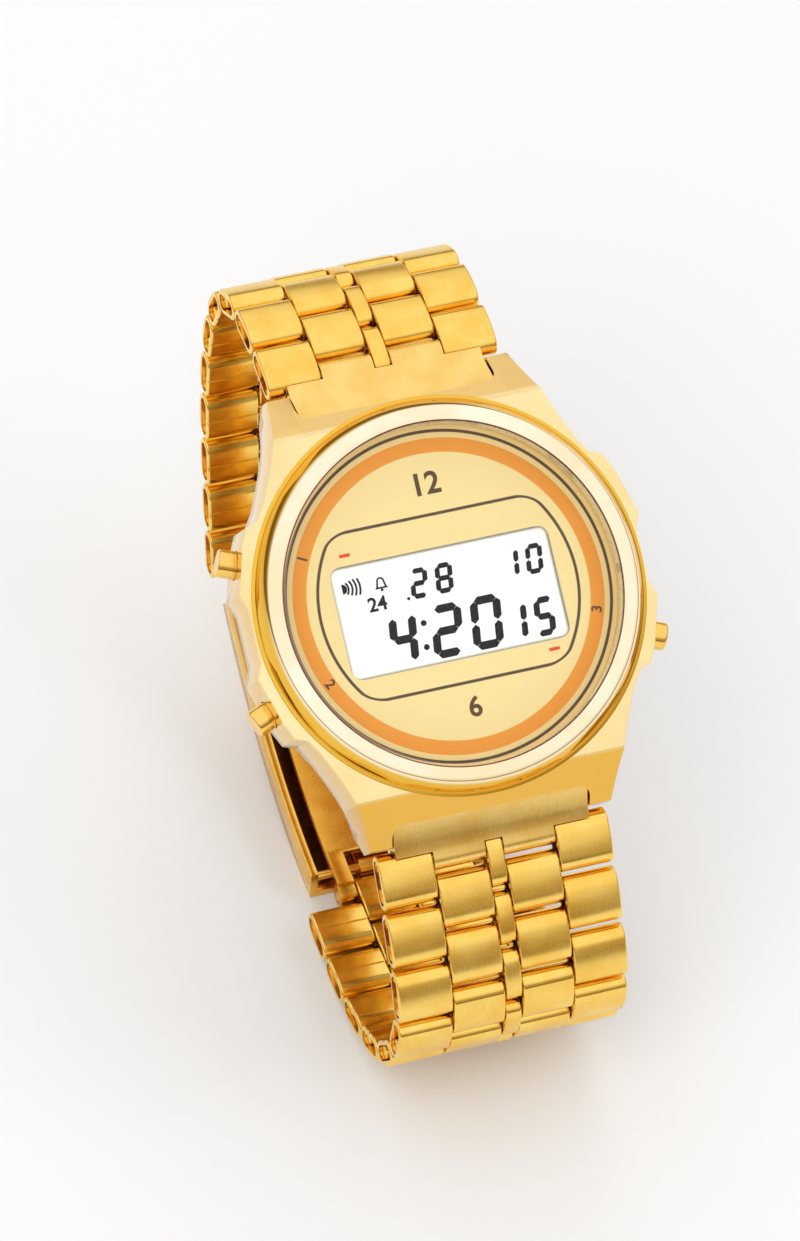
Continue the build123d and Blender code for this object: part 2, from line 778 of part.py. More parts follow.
# The places of the joints in the finished part, for whoever fits it
offset = shift.position
for name, heading, (pins, headings) in (("upper", upper_heading, upper), ("lower", lower_heading, lower)):
    for index, row_heading in enumerate(headings):
        turn = row_heading - heading
        heading = row_heading
        print("pin", name, index + 1, pins[index][0] + offset.Y, pins[index][1] + offset.Z, turn)
    print("pin", name, "end", pins[-1][0] + offset.Y, pins[-1][1] + offset.Z, heading)
centre = clasp_centre(lower_bar)
for name, length, depth in (
    ("lower_bar", 0, bar_depth),
    ("far_hinge", far_hinge, knuckle_depth),
    ("cover_hinge", hinge_inset, knuckle_depth),
):
    angle = length / clasp_radius - math.radians(clasp_lean)
    radius = clasp_radius - depth
    y, z = centre[0] + radius * math.sin(angle), centre[1] - radius * math.cos(angle)
    print("hinge", name, y + offset.Y, z + offset.Z)
print("dial", offset.X, offset.Y, offset.Z, "size", box.size)
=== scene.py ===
"""Looks of a gold-tone digital wristwatch that stands on its closed bracelet.

The head is dressed in its own frame: x to 3 o'clock, y to 12 o'clock, z out of the dial, zero on the dial's face.
Sizes are in millimetres and become metres where a mesh is made.
"""

from __future__ import annotations

import json
import logging
import math
from dataclasses import dataclass, field
from enum import Enum
from typing import Any, Iterable, Sequence

import bmesh
import bpy
from mathutils import Matrix, Vector

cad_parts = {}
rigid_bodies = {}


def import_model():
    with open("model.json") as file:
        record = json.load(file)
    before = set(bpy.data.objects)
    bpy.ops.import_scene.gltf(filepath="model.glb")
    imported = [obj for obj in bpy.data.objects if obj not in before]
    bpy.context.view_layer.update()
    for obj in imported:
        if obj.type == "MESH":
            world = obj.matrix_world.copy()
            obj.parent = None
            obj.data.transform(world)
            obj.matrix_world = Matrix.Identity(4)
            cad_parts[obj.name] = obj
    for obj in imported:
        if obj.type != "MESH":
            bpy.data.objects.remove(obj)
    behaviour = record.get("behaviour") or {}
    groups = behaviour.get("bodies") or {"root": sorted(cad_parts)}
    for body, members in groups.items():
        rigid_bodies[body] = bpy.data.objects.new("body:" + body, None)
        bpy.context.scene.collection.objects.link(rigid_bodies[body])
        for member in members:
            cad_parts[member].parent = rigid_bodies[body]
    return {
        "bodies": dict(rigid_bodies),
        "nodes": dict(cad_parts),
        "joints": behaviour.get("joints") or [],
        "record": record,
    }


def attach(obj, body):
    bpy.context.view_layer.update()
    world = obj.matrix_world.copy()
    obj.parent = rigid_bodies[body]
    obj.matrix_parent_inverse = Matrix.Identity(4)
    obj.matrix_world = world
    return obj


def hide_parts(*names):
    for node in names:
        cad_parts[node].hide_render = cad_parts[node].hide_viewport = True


LOG = logging.getLogger("watch")

MM = 0.001
FULL_TURN = 2 * math.pi
HALF_TURN = math.pi
QUARTER_TURN = math.pi / 2
MAP_SHARE = 0.01

BMesh = bmesh.types.BMesh
Material = bpy.types.Material
Mesh = bpy.types.Mesh
Socket = bpy.types.NodeSocket
Colour = tuple[float, float, float]
Point = tuple[float, float]
Corner = tuple[float, float, float]

WHITE: Colour = (1.0, 1.0, 1.0)
BLACK: Colour = (0.0, 0.0, 0.0)
ORIGIN: Corner = (0.0, 0.0, 0.0)


def screen_colour(red: float, green: float, blue: float) -> Colour:
    """Linear colour of an sRGB colour given from 0 to 255.

    Args:
        red: its red part.
        green: its green part.
        blue: its blue part.

    Returns:
        The linear colour, from 0 to 1.
    """
    def linear(value: float) -> float:
        """One part, made linear."""
        share = value / 255
        return share / 12.92 if share <= 0.04045 else ((share + 0.055) / 1.055) ** 2.4
    return linear(red), linear(green), linear(blue)


PRINT_BROWN = screen_colour(92, 70, 48)


# Shader maths


class NodeGrower:
    """A node tree and the one method that adds any node to it."""

    def __init__(self, tree: bpy.types.NodeTree) -> None:
        """Take an empty tree."""
        self.tree = tree

    def node(self, kind: str, settings: dict | None = None, inputs: dict | None = None) -> bpy.types.Node:
        """Add any node.

        Args:
            kind: the node's type.
            settings: its properties, set first. A ramp's stops are pairs of position and colour.
            inputs: values or links of its sockets, by name or place.

        Returns:
            The new node.
        """
        made = self.tree.nodes.new(kind)
        for key, value in (settings or {}).items():
            if key == "stops":
                self.set_stops(made, value)
            else:
                setattr(made, key, value)
        for key, value in (inputs or {}).items():
            self.join(made.inputs[key], value)
        return made

    def set_stops(self, ramp: bpy.types.Node, stops: Sequence[tuple[float, Colour]]) -> None:
        """Give a ramp its stops.

        Args:
            ramp: the ramp's node.
            stops: pairs of position and colour.
        """
        elements = ramp.color_ramp.elements
        elements[0].position, elements[1].position = stops[0][0], stops[-1][0]
        for position, _ in stops[1:-1]:
            elements.new(position)
        for element, (_, colour) in zip(elements, stops):
            element.color = (*colour, 1.0)

    def join(self, socket: Socket, value: Any) -> None:
        """Put a number, colour, amount or socket on an input socket.

        Args:
            socket: the input socket.
            value: what goes on it.
        """
        if isinstance(value, Amount):
            value = value.socket
        if isinstance(value, Socket):
            self.tree.links.new(value, socket)
        elif isinstance(value, tuple) and len(value) == 3 and len(socket.default_value) == 4:
            socket.default_value = (*value, 1.0)
        else:
            socket.default_value = value

    def split(self, vector: Socket) -> tuple[Amount, Amount, Amount]:
        """The three numbers of a vector."""
        node = self.node("ShaderNodeSeparateXYZ", inputs={0: vector})
        return tuple(Amount(self, socket) for socket in node.outputs)

    def vector(self, *parts: Any) -> Socket:
        """A vector of up to three amounts or numbers."""
        return self.node("ShaderNodeCombineXYZ", inputs=dict(enumerate(parts))).outputs[0]

    def blend(self, share: Any, first: Any, second: Any) -> Socket:
        """A colour between two, by a share."""
        return self.node("ShaderNodeMix", {"data_type": "RGBA"}, {0: share, 6: first, 7: second}).outputs[2]


class Amount:
    """A number that varies over a surface. Each sum or product of amounts adds a Math node."""

    def __init__(self, grower: NodeGrower, socket: Socket) -> None:
        """Wrap a socket of a tree."""
        self.grower = grower
        self.socket = socket

    def maths(self, operation: str, *values: Any) -> Amount:
        """Add one Math node with its operation and its inputs, amounts or numbers, in order."""
        node = self.grower.node("ShaderNodeMath", {"operation": operation}, dict(enumerate(values)))
        return Amount(self.grower, node.outputs[0])

    def __add__(self, other: Any) -> Amount:
        """Sum."""
        return self.maths("ADD", self, other)

    __radd__ = __add__

    def __sub__(self, other: Any) -> Amount:
        """Difference."""
        return self.maths("SUBTRACT", self, other)

    def __rsub__(self, other: Any) -> Amount:
        """Difference from a number."""
        return self.maths("SUBTRACT", other, self)

    def __mul__(self, other: Any) -> Amount:
        """Product."""
        return self.maths("MULTIPLY", self, other)

    __rmul__ = __mul__

    def __abs__(self) -> Amount:
        """Size without sign."""
        return self.maths("ABSOLUTE", self)

    def least(self, other: Any) -> Amount:
        """The smaller of two."""
        return self.maths("MINIMUM", self, other)

    def most(self, other: Any) -> Amount:
        """The larger of two."""
        return self.maths("MAXIMUM", self, other)

    def root(self) -> Amount:
        """Square root."""
        return self.maths("SQRT", self)

    def sine(self) -> Amount:
        """Sine, of radians."""
        return self.maths("SINE", self)

    def past(self, edge: float, soft: float) -> Amount:
        """A step from 0 to 1.

        Args:
            edge: where the step is half way.
            soft: how wide the step is.

        Returns:
            0 well below the edge and 1 well above it.
        """
        node = self.grower.node(
            "ShaderNodeMapRange",
            {"interpolation_type": "SMOOTHSTEP", "clamp": True},
            {0: self, 1: edge - soft / 2, 2: edge + soft / 2, 3: 0.0, 4: 1.0},
        )
        return Amount(self.grower, node.outputs[0])

    def within(self, low: float, high: float, soft: float) -> Amount:
        """1 between two edges, 0 outside them."""
        return self.past(low, soft) * (1 - self.past(high, soft))


class Surface(NodeGrower):
    """A material and the nodes that it grows."""

    def __init__(self, name: str) -> None:
        """Start a Principled material.

        Args:
            name: the material's name.
        """
        self.material = bpy.data.materials.new(name)
        self.material.use_nodes = True
        super().__init__(self.material.node_tree)
        self.tree.nodes.clear()
        self.output = self.node("ShaderNodeOutputMaterial")
        self.shader = self.node("ShaderNodeBsdfPrincipled")
        self.tree.links.new(self.shader.outputs[0], self.output.inputs[0])

    def set(self, **values: Any) -> None:
        """Set or link the shader's sockets, with underscores for the spaces in their names."""
        for name, value in values.items():
            self.join(self.shader.inputs[name.replace("_", " ")], value)

    def place(self, frame: Matrix | None = None) -> Socket:
        """Coordinates in millimetres, in the object's frame or in another, given in metres."""
        back = (frame or Matrix.Identity(4)).inverted()
        return self.mapped("Object", 1 / MM, back.to_translation() / MM, back.to_euler())

    def strap_map(self) -> Socket:
        """The links' own map: across the band, then along the folded strip, in millimetres."""
        return self.mapped("UV", 1 / MAP_SHARE)

    def mapped(self, kind: str, scale: float, shift: Sequence[float] = ORIGIN,
               turn: Sequence[float] = ORIGIN) -> Socket:
        """One of the texture coordinates, scaled, turned and shifted.

        Args:
            kind: which coordinates.
            scale: their scale.
            shift: what is added after that.
            turn: the turn about x, y and z.

        Returns:
            The coordinates as a vector socket.
        """
        source = self.node("ShaderNodeTexCoord").outputs[kind]
        return self.node("ShaderNodeMapping", {"vector_type": "POINT"}, {
            "Vector": source, "Location": list(shift), "Rotation": list(turn), "Scale": [scale] * 3}).outputs[0]

    def polar(self, frame: Matrix | None = None) -> tuple[Amount, Amount, Amount, Amount]:
        """Millimetres in a frame: x, y and z, and the distance from its z axis."""
        x, y, z = self.split(self.place(frame))
        return x, y, z, (x * x + y * y).root()

    def noise(self, vector: Any, scale: float, detail: float = 2.0, roughness: float = 0.5) -> Amount:
        """Smooth noise about 0.5.

        Args:
            vector: where it is read.
            scale: waves for each millimetre.
            detail: octaves.
            roughness: how strong the fine octaves are.

        Returns:
            The noise.
        """
        node = self.node("ShaderNodeTexNoise", {"noise_dimensions": "3D"}, {
            "Vector": vector, "Scale": scale, "Detail": detail, "Roughness": roughness})
        return Amount(self, node.outputs[0])

    def bump(self, height: Amount, depth: float, strength: float) -> None:
        """Feed the normal from a height in millimetres.

        Args:
            height: the height, from 0 to 1.
            depth: how high 1 is, in millimetres.
            strength: how much of it shows.
        """
        node = self.node("ShaderNodeBump", inputs={
            "Height": height, "Distance": depth * MM, "Strength": strength})
        self.set(Normal=node.outputs[0])


# Finishes


@dataclass(frozen=True)
class Finish:
    """A named finish. Each kind dresses a surface in its own way."""

    name: str

    def material(self) -> Material:
        """Build the material.

        Returns:
            The material.
        """
        surface = Surface(self.name)
        self.dress(surface)
        return surface.material

    def dress(self, surface: Surface) -> None:
        """Grow the finish's nodes on an empty surface."""
        raise NotImplementedError


class Zone(Enum):
    """Where polished plating is painted in its deeper tone: soft random clouds, or painted shade standing in for
    darker reflections.
    """

    CLOUDS = "soft clouds all over"
    CASE = "the slope towards 6 o'clock, and less on the side walls"
    FOOT = "the steep wall and stepped foot of a ring"


@dataclass(frozen=True)
class PolishedGold(Finish):
    """Mirror-bright gold-tone plating with faint wipe marks and hairlines, and its deeper tone painted in where it
    stands for darker reflections.
    """

    colour: Colour
    deep: Colour
    frame: Matrix | None = None
    zone: Zone = Zone.CLOUDS
    painted_shade_from: float = 0.0
    shaded_wall_top: float = -0.1
    matt_within: float = 0.0
    roughness: float = 0.07
    wipe: float = 0.05

    def dress(self, surface: Surface) -> None:
        """Tone it by its zone, with painted shade for darker reflections on the case's slope and walls and on a
        ring's foot, and roughen it by wipe marks, hairlines and a matt inner wall.

        Args:
            surface: the empty surface.
        """
        place = surface.place()
        cloud = surface.noise(place, 0.12, 3.0, 0.55)
        hair = surface.noise(surface.node("ShaderNodeMapping", inputs={
            "Vector": place, "Rotation": (0.3, 0.5, 0.9), "Scale": (14.0, 0.35, 0.35)}).outputs[0], 1.0, 2.0)
        _, y, z, radius = surface.polar(self.frame)
        share = cloud.past(0.5, 0.5) * 0.35
        # Painted shade: the deeper gold on the slope towards 6 o'clock and, more faintly, on the side walls stands
        # for the darker surroundings that they reflect.
        if self.zone is Zone.CASE:
            painted_wall_shade = (1 - z.past(self.shaded_wall_top, 0.3)) * 0.6
            share = share.most(painted_wall_shade).most((0 - y).past(self.painted_shade_from, 0.5))
        # Painted shade: the deeper gold on a ring's steep wall and stepped foot stands for a darker reflection.
        if self.zone is Zone.FOOT:
            share = share.most(radius.past(self.painted_shade_from, 0.3))
        matt = (1 - radius.past(self.matt_within, 0.2)) * 0.4
        surface.set(Metallic=1.0, Base_Color=surface.blend(share, self.colour, self.deep),
                    Roughness=self.roughness + cloud * self.wipe + hair.past(0.68, 0.06) * 0.05 + matt)
        surface.bump(surface.noise(place, 0.35, 1.0), 0.004, 0.35)


@dataclass(frozen=True)
class SatinGold(Finish):
    """Satin gold-tone plating, brushed along the strap, with brighter rolled edges."""

    colour: Colour
    deep: Colour
    roughness: float = 0.27
    on_strip: bool = True
    face_half: float = 1.35

    def dress(self, surface: Surface) -> None:
        """Brush it along the strip, or along the part, and smooth the rolls of a strip.

        Args:
            surface: the empty surface.
        """
        across, along, _ = surface.split(surface.strap_map() if self.on_strip else surface.place())
        place = surface.place()
        streaks = surface.noise(surface.vector(across * 16.0, along * 0.5, 0.0), 1.0, 3.0, 0.65)
        grains = surface.noise(place, 9.0, 2.0, 0.6)
        patches = surface.noise(place, 0.4, 2.0)
        tone = (streaks * 0.4 + patches * 0.6).past(0.5, 0.45)
        rough = self.roughness + (streaks - 0.5) * 0.07 + (patches - 0.5) * 0.06
        if self.on_strip:
            rough = rough * (1 - abs(along).past(self.face_half, 0.7) * 0.45)
        surface.set(Metallic=1.0, Base_Color=surface.blend(tone, self.deep, self.colour), Roughness=rough)
        surface.bump(streaks * 0.55 + grains * 0.45, 0.005, 0.45)


@dataclass(frozen=True)
class Steel(Finish):
    """Satin steel, turned in fine rings about the middle of the back, or plain."""

    colour: Colour
    frame: Matrix | None = None
    roughness: float = 0.3

    def dress(self, surface: Surface) -> None:
        """Turn it in rings about its frame's axis, or draw it in lines along x where it has none.

        Args:
            surface: the empty surface.
        """
        x, _, _, radius = surface.polar(self.frame)
        rings = surface.noise(surface.vector((radius if self.frame else x) * 9.0, 0.0, 0.0), 1.0, 4.0, 0.7)
        cloud = surface.noise(surface.place(self.frame), 0.25, 3.0)
        dark = tuple(part * 0.82 for part in self.colour)
        surface.set(Metallic=1.0, Base_Color=surface.blend(rings.past(0.5, 0.5), dark, self.colour),
                    Roughness=self.roughness + (rings - 0.5) * 0.2 + (cloud - 0.5) * 0.12)
        surface.bump(rings, 0.006, 0.5)


@dataclass(frozen=True)
class Moulded(Finish):
    """Moulded plastic or rubber with a fine grain."""

    colour: Colour
    roughness: float = 0.6
    grain: float = 4.0

    def dress(self, surface: Surface) -> None:
        """Lighten and roughen it by its grain.

        Args:
            surface: the empty surface.
        """
        grain = surface.noise(surface.place(), self.grain, 3.0)
        light = tuple(min(1.0, part * 1.35 + 0.01) for part in self.colour)
        surface.set(Metallic=0.0, Base_Color=surface.blend(grain.past(0.5, 0.4), self.colour, light),
                    Roughness=self.roughness + (grain - 0.5) * 0.2)
        surface.bump(grain, 0.01, 0.4)


@dataclass(frozen=True)
class StripedRubber(Finish):
    """Connector strip of conducting and insulating stripes."""

    pitch: float = 0.18

    def dress(self, surface: Surface) -> None:
        """Stripe it across its length.

        Args:
            surface: the empty surface.
        """
        across, _, _ = surface.split(surface.place())
        stripes = (across * (FULL_TURN / self.pitch)).sine().past(0.0, 0.4)
        surface.set(Metallic=0.0, Roughness=0.55,
                    Base_Color=surface.blend(stripes, (0.05, 0.05, 0.05), (0.55, 0.56, 0.58)))


@dataclass(frozen=True)
class PrintedBoard(Finish):
    """Solder mask with traces and pads."""

    frame: Matrix
    trace_pitch: float = 1.1
    pad_waves: float = 2.6

    def dress(self, surface: Surface) -> None:
        """Draw wandering traces, and a field of plated pads.

        Args:
            surface: the empty surface.
        """
        x, y, _ = surface.split(surface.place(self.frame))
        wander = surface.noise(surface.vector(x * 0.2, y * 0.2, 0.0), 1.0, 1.0)
        traces = ((x + wander * 3.0) * (FULL_TURN / self.trace_pitch)).sine().past(0.75, 0.3)
        pads = ((x * self.pad_waves).sine() * (y * self.pad_waves).sine()).past(0.86, 0.08)
        mask = surface.blend(traces, screen_colour(14, 74, 44), screen_colour(36, 112, 66))
        surface.set(Base_Color=surface.blend(pads, mask, screen_colour(214, 176, 96)), Metallic=pads,
                    Roughness=0.45 - pads * 0.15)


@dataclass(frozen=True)
class DialPrint(Finish):
    """The printed dial: pale yellow ground, orange band, thin brown rings, two red dashes."""

    frame: Matrix
    ground: Colour = screen_colour(254, 231, 164)
    rim: Colour = screen_colour(252, 220, 146)
    band: Colour = screen_colour(247, 158, 44)
    ink: Colour = PRINT_BROWN
    dash: Colour = screen_colour(238, 72, 44)
    band_from: float = 12.0
    band_to: float = 13.2
    rim_fade: float = 2.4
    ring_radius: float = 13.78
    line_half: float = 0.13
    panel_radius: float = 11.05
    panel_half_height: float = 7.1
    panel_rise: float = -0.2
    panel_corner: float = 1.0
    dashes: tuple[Point, ...] = ((-7.87, 5.03), (7.73, -6.1))
    dash_half_length: float = 0.46
    dash_half_width: float = 0.14
    edge: float = 0.04

    def panel_distance(self, radius: Amount, rise: Amount) -> Amount:
        """Distance from the rounded frame line round the display, negative inside.

        Args:
            radius: the distance from the dial's middle.
            rise: the height towards 12 o'clock.

        Returns:
            The distance, in millimetres.
        """
        side = radius - (self.panel_radius - self.panel_corner)
        end = abs(rise - self.panel_rise) - (self.panel_half_height - self.panel_corner)
        outer_side, outer_end = side.most(0.0), end.most(0.0)
        outside = (outer_side * outer_side + outer_end * outer_end).root()
        return outside + side.most(end).least(0.0) - self.panel_corner

    def dress(self, surface: Surface) -> None:
        """Print the ground, then the band, the lines and the dashes.

        Args:
            surface: the empty surface.
        """
        place = surface.place(self.frame)
        x, y, _, radius = surface.polar(self.frame)
        grain = surface.noise(place, 14.0, 2.0, 0.7)
        cloud = surface.noise(place, 0.09, 1.0)
        ground = surface.blend(radius.past(self.band_to, self.rim_fade) * 0.6 + cloud * 0.12, self.ground, self.rim)
        speckled = surface.blend(grain.past(0.62, 0.2) * 0.25, self.band, self.rim)
        colour = surface.blend(radius.within(self.band_from, self.band_to, self.edge), ground, speckled)
        ring = radius.within(self.ring_radius - self.line_half, self.ring_radius + self.line_half, self.edge)
        lines = ring.most(1 - abs(self.panel_distance(radius, y)).past(self.line_half, self.edge))
        colour = surface.blend(lines, colour, self.ink)
        for centre_x, centre_y in self.dashes:
            wide = 1 - abs(x - centre_x).past(self.dash_half_length, self.edge)
            tall = 1 - abs(y - centre_y).past(self.dash_half_width, self.edge)
            colour = surface.blend(wide * tall, colour, self.dash)
        surface.set(Metallic=0.0, Specular_IOR_Level=0.35, Base_Color=colour, Roughness=0.42 + grain * 0.14)
        surface.bump(lines + grain * 0.15, 0.012, 0.35)


@dataclass(frozen=True)
class DisplayGlass(Finish):
    """The display: near-white with a faint painted glow, and a painted grey shadow under the window's edge."""

    frame: Matrix
    half_width: float = 9.5
    half_height: float = 4.75
    corner: float = 0.8
    rise: float = -0.57
    light: Colour = screen_colour(250, 251, 250)
    cloudy: Colour = screen_colour(240, 242, 243)
    shade: Colour = screen_colour(118, 120, 128)
    shade_from: float = -0.16
    shade_fade: float = 0.34

    def dress(self, surface: Surface) -> None:
        """Paint a grey shadow on it towards the window's rounded edge, and dim its painted glow there.

        Args:
            surface: the empty surface.
        """
        place = surface.place(self.frame)
        x, y, _ = surface.split(place)
        near_side = (abs(x) - (self.half_width - self.corner)).most(0.0)
        near_end = (abs(y - self.rise) - (self.half_height - self.corner)).most(0.0)
        edge = (near_side * near_side + near_end * near_end).root() - self.corner
        shadow = edge.past(self.shade_from, self.shade_fade)
        base = surface.blend(surface.noise(place, 0.3, 2.0) * 0.25, self.light, self.cloudy)
        # Painted glow: the display has no light of its own, yet it gives off a faint white emission, which the
        # painted shadow at the window's edge takes away.
        surface.set(Metallic=0.0, Roughness=0.28, Specular_IOR_Level=0.4, Emission_Strength=0.16,
                    Base_Color=surface.blend(shadow * 0.85, base, self.shade),
                    Emission_Color=surface.blend(shadow, WHITE, BLACK))


@dataclass(frozen=True)
class Ink(Finish):
    """Printed or switched-on dark marks."""

    colour: Colour
    roughness: float = 0.45

    def dress(self, surface: Surface) -> None:
        """Let the ink's grain show in its colour and gloss.

        Args:
            surface: the empty surface.
        """
        grain = surface.noise(surface.place(), 6.0, 2.0)
        worn = tuple(part * 1.3 + 0.004 for part in self.colour)
        surface.set(Metallic=0.0, Specular_IOR_Level=0.15, Base_Color=surface.blend(grain * 0.3, self.colour, worn),
                    Roughness=self.roughness + (grain - 0.5) * 0.1)


@dataclass(frozen=True)
class ClearGlass(Finish):
    """Clear crystal with soft reflections, and a warm tint at its bevel and a thin dark-red rim, both painted
    reflections of the gold round its edge.
    """

    frame: Matrix
    edge_radius: float = 14.1
    rim_radius: float = 14.3
    top_from: float = 1.5
    painted_bevel_reflection: Colour = screen_colour(250, 214, 190)
    rim: Colour = screen_colour(110, 34, 10)
    clear: Colour = (0.99, 0.99, 0.985)

    def dress(self, surface: Surface) -> None:
        """Mix see-through and mirror, by angle, at the bevel and at the rim of the top.

        Args:
            surface: the empty surface.
        """
        _, _, z, radius = surface.polar(self.frame)
        top = z.past(self.top_from, 0.2)
        edge = radius.past(self.edge_radius, 0.1) * top
        rim = radius.past(self.rim_radius, 0.05) * top
        smear = surface.noise(surface.place(self.frame), 0.2, 2.0)
        # Painted reflections: the warm colour at the bevel and the dark-red line at the rim stand for the gold round
        # the crystal's edge seen in it.
        surface.set(Metallic=1.0, Base_Color=surface.blend(rim, surface.blend(edge, WHITE, self.painted_bevel_reflection), self.rim),
                    Roughness=0.03 + smear.past(0.6, 0.4) * 0.04 + edge * 0.12)
        fresnel = Amount(surface, surface.node("ShaderNodeFresnel", inputs={"IOR": 1.4}).outputs[0])
        clear = surface.node("ShaderNodeBsdfTransparent", inputs={"Color": self.clear})
        mix = surface.node("ShaderNodeMixShader", inputs={
            0: (fresnel * 0.4).most(edge * 0.2).most(rim * 0.85), 1: clear.outputs[0],
            2: surface.shader.outputs[0]})
        surface.join(surface.output.inputs[0], mix.outputs[0])


# Meshes


def shade(mesh: Mesh, angle: float = 35.0) -> None:
    """Shade smooth, with sharp edges past an angle in degrees."""
    mesh.shade_smooth()
    mesh.set_sharp_from_angle(angle=math.radians(angle))


def shown(name: str, mesh: Mesh, material: Material | None = None) -> bpy.types.Object:
    """Put a mesh in the scene as an object at the origin.

    Args:
        name: the piece's name.
        mesh: its mesh, in place.
        material: its one material, or None to keep what the mesh has.

    Returns:
        The object.
    """
    if material is not None:
        mesh.materials.clear()
        mesh.materials.append(material)
    made = bpy.data.objects.new(name, mesh)
    bpy.context.scene.collection.objects.link(made)
    return made


def fit(piece: bpy.types.Object, body: str, slot: str, *nodes: str) -> None:
    """Let a piece ride on a body.

    Args:
        piece: the finished piece.
        body: the body.
        slot: the material slot that its finish comes from; not used.
        nodes: the nodes that it stands for.
    """
    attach(piece, body)
    if nodes:
        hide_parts(*nodes)
    LOG.info("%s: %d faces", piece.name, len(piece.data.polygons))


def spend(*used: bpy.types.Object) -> None:
    """Take objects that only helped to make a mesh out of the scene."""
    for helper in used:
        bpy.data.objects.remove(helper)


def evaluated_mesh(source: bpy.types.Object) -> Mesh:
    """The plain mesh that an object's modifiers give.

    Args:
        source: the object.

    Returns:
        The mesh.
    """
    bpy.context.view_layer.update()
    graph = bpy.context.evaluated_depsgraph_get()
    return bpy.data.meshes.new_from_object(source.evaluated_get(graph))


def soften(piece: bpy.types.Object, width: float, segments: int, angle: float) -> None:
    """Round an object's edges with a modifier.

    Args:
        piece: the object.
        width: the rounding's width in millimetres.
        segments: faces across a rounding.
        angle: the least angle between faces that is rounded, in degrees.
    """
    edges = piece.modifiers.new("edges", "BEVEL")
    edges.width, edges.segments, edges.limit_method = width * MM, segments, "ANGLE"
    edges.angle_limit = math.radians(angle)


def cut_out(piece: bpy.types.Object, cutter: bpy.types.Object) -> None:
    """Take a cutter's shape out of an object with a modifier."""
    hole = piece.modifiers.new("cut", "BOOLEAN")
    hole.operation, hole.solver, hole.object = "DIFFERENCE", "EXACT", cutter


def filled(name: str, work: BMesh) -> Mesh:
    """Turn a working mesh into a mesh and free it.

    Args:
        name: the mesh's name.
        work: the working mesh.

    Returns:
        The mesh, shaded.
    """
    mesh = bpy.data.meshes.new(name)
    work.to_mesh(mesh)
    work.free()
    shade(mesh)
    return mesh


def lathe(name: str, profile: Sequence[Point], frame: Matrix, segments: int) -> Mesh:
    """Turn a closed profile about the frame's z axis.

    Args:
        name: the mesh's name.
        profile: radius and height of each corner, round the section once. A radius of zero is a pole.
        frame: where the axis is.
        segments: corners in a turn.

    Returns:
        The mesh, in metres.
    """
    work = bmesh.new()
    rings: list[list[bmesh.types.BMVert]] = []
    for radius, height in profile:
        angles = [FULL_TURN * step / segments for step in range(segments if radius > 0 else 1)]
        rings.append([work.verts.new(frame @ Vector((
            radius * MM * math.cos(angle), radius * MM * math.sin(angle), height * MM))) for angle in angles])
    for first, second in zip(rings, rings[1:] + rings[:1]):
        if len(first) == len(second) == 1:
            continue
        for step in range(segments):
            after = (step + 1) % segments
            corners = [first[step % len(first)], first[after % len(first)],
                       second[after % len(second)], second[step % len(second)]]
            work.faces.new(list(dict.fromkeys(corners)))
    bmesh.ops.recalc_face_normals(work, faces=work.faces)
    return filled(name, work)


def rounded(corners: Sequence[Corner], steps: int = 4) -> list[Point]:
    """Round the corners of a closed outline.

    Args:
        corners: each corner's two coordinates, and how far it is cut back along its sides.
        steps: pieces in each rounding.

    Returns:
        The finer outline.
    """
    result: list[Point] = []
    places = [Vector(corner[:2]) for corner in corners]
    for index, (here, corner) in enumerate(zip(places, corners)):
        if corner[2] <= 0:
            result.append(corner[:2])
            continue
        before = places[index - 1] - here
        after = places[(index + 1) % len(places)] - here
        start = here + before.normalized() * min(corner[2], before.length * 0.49)
        end = here + after.normalized() * min(corner[2], after.length * 0.49)
        for step in range(steps + 1):
            share = step / steps
            point = start * (1 - share) ** 2 + here * 2 * share * (1 - share) + end * share ** 2
            result.append((point.x, point.y))
    return result


def add_plate(work: BMesh, outline: Sequence[Point], thickness: float) -> None:
    """Add a flat plate of an outline to a working mesh, from height zero up.

    Args:
        work: the working mesh.
        outline: the outline's corners.
        thickness: how thick it is.
    """
    low = [work.verts.new((x, y, 0)) for x, y in outline]
    high = [work.verts.new((x, y, thickness)) for x, y in outline]
    faces = [work.faces.new(list(reversed(low))), work.faces.new(high)]
    for index in range(len(outline)):
        after = (index + 1) % len(outline)
        faces.append(work.faces.new([low[index], low[after], high[after], high[index]]))
    bmesh.ops.recalc_face_normals(work, faces=faces)


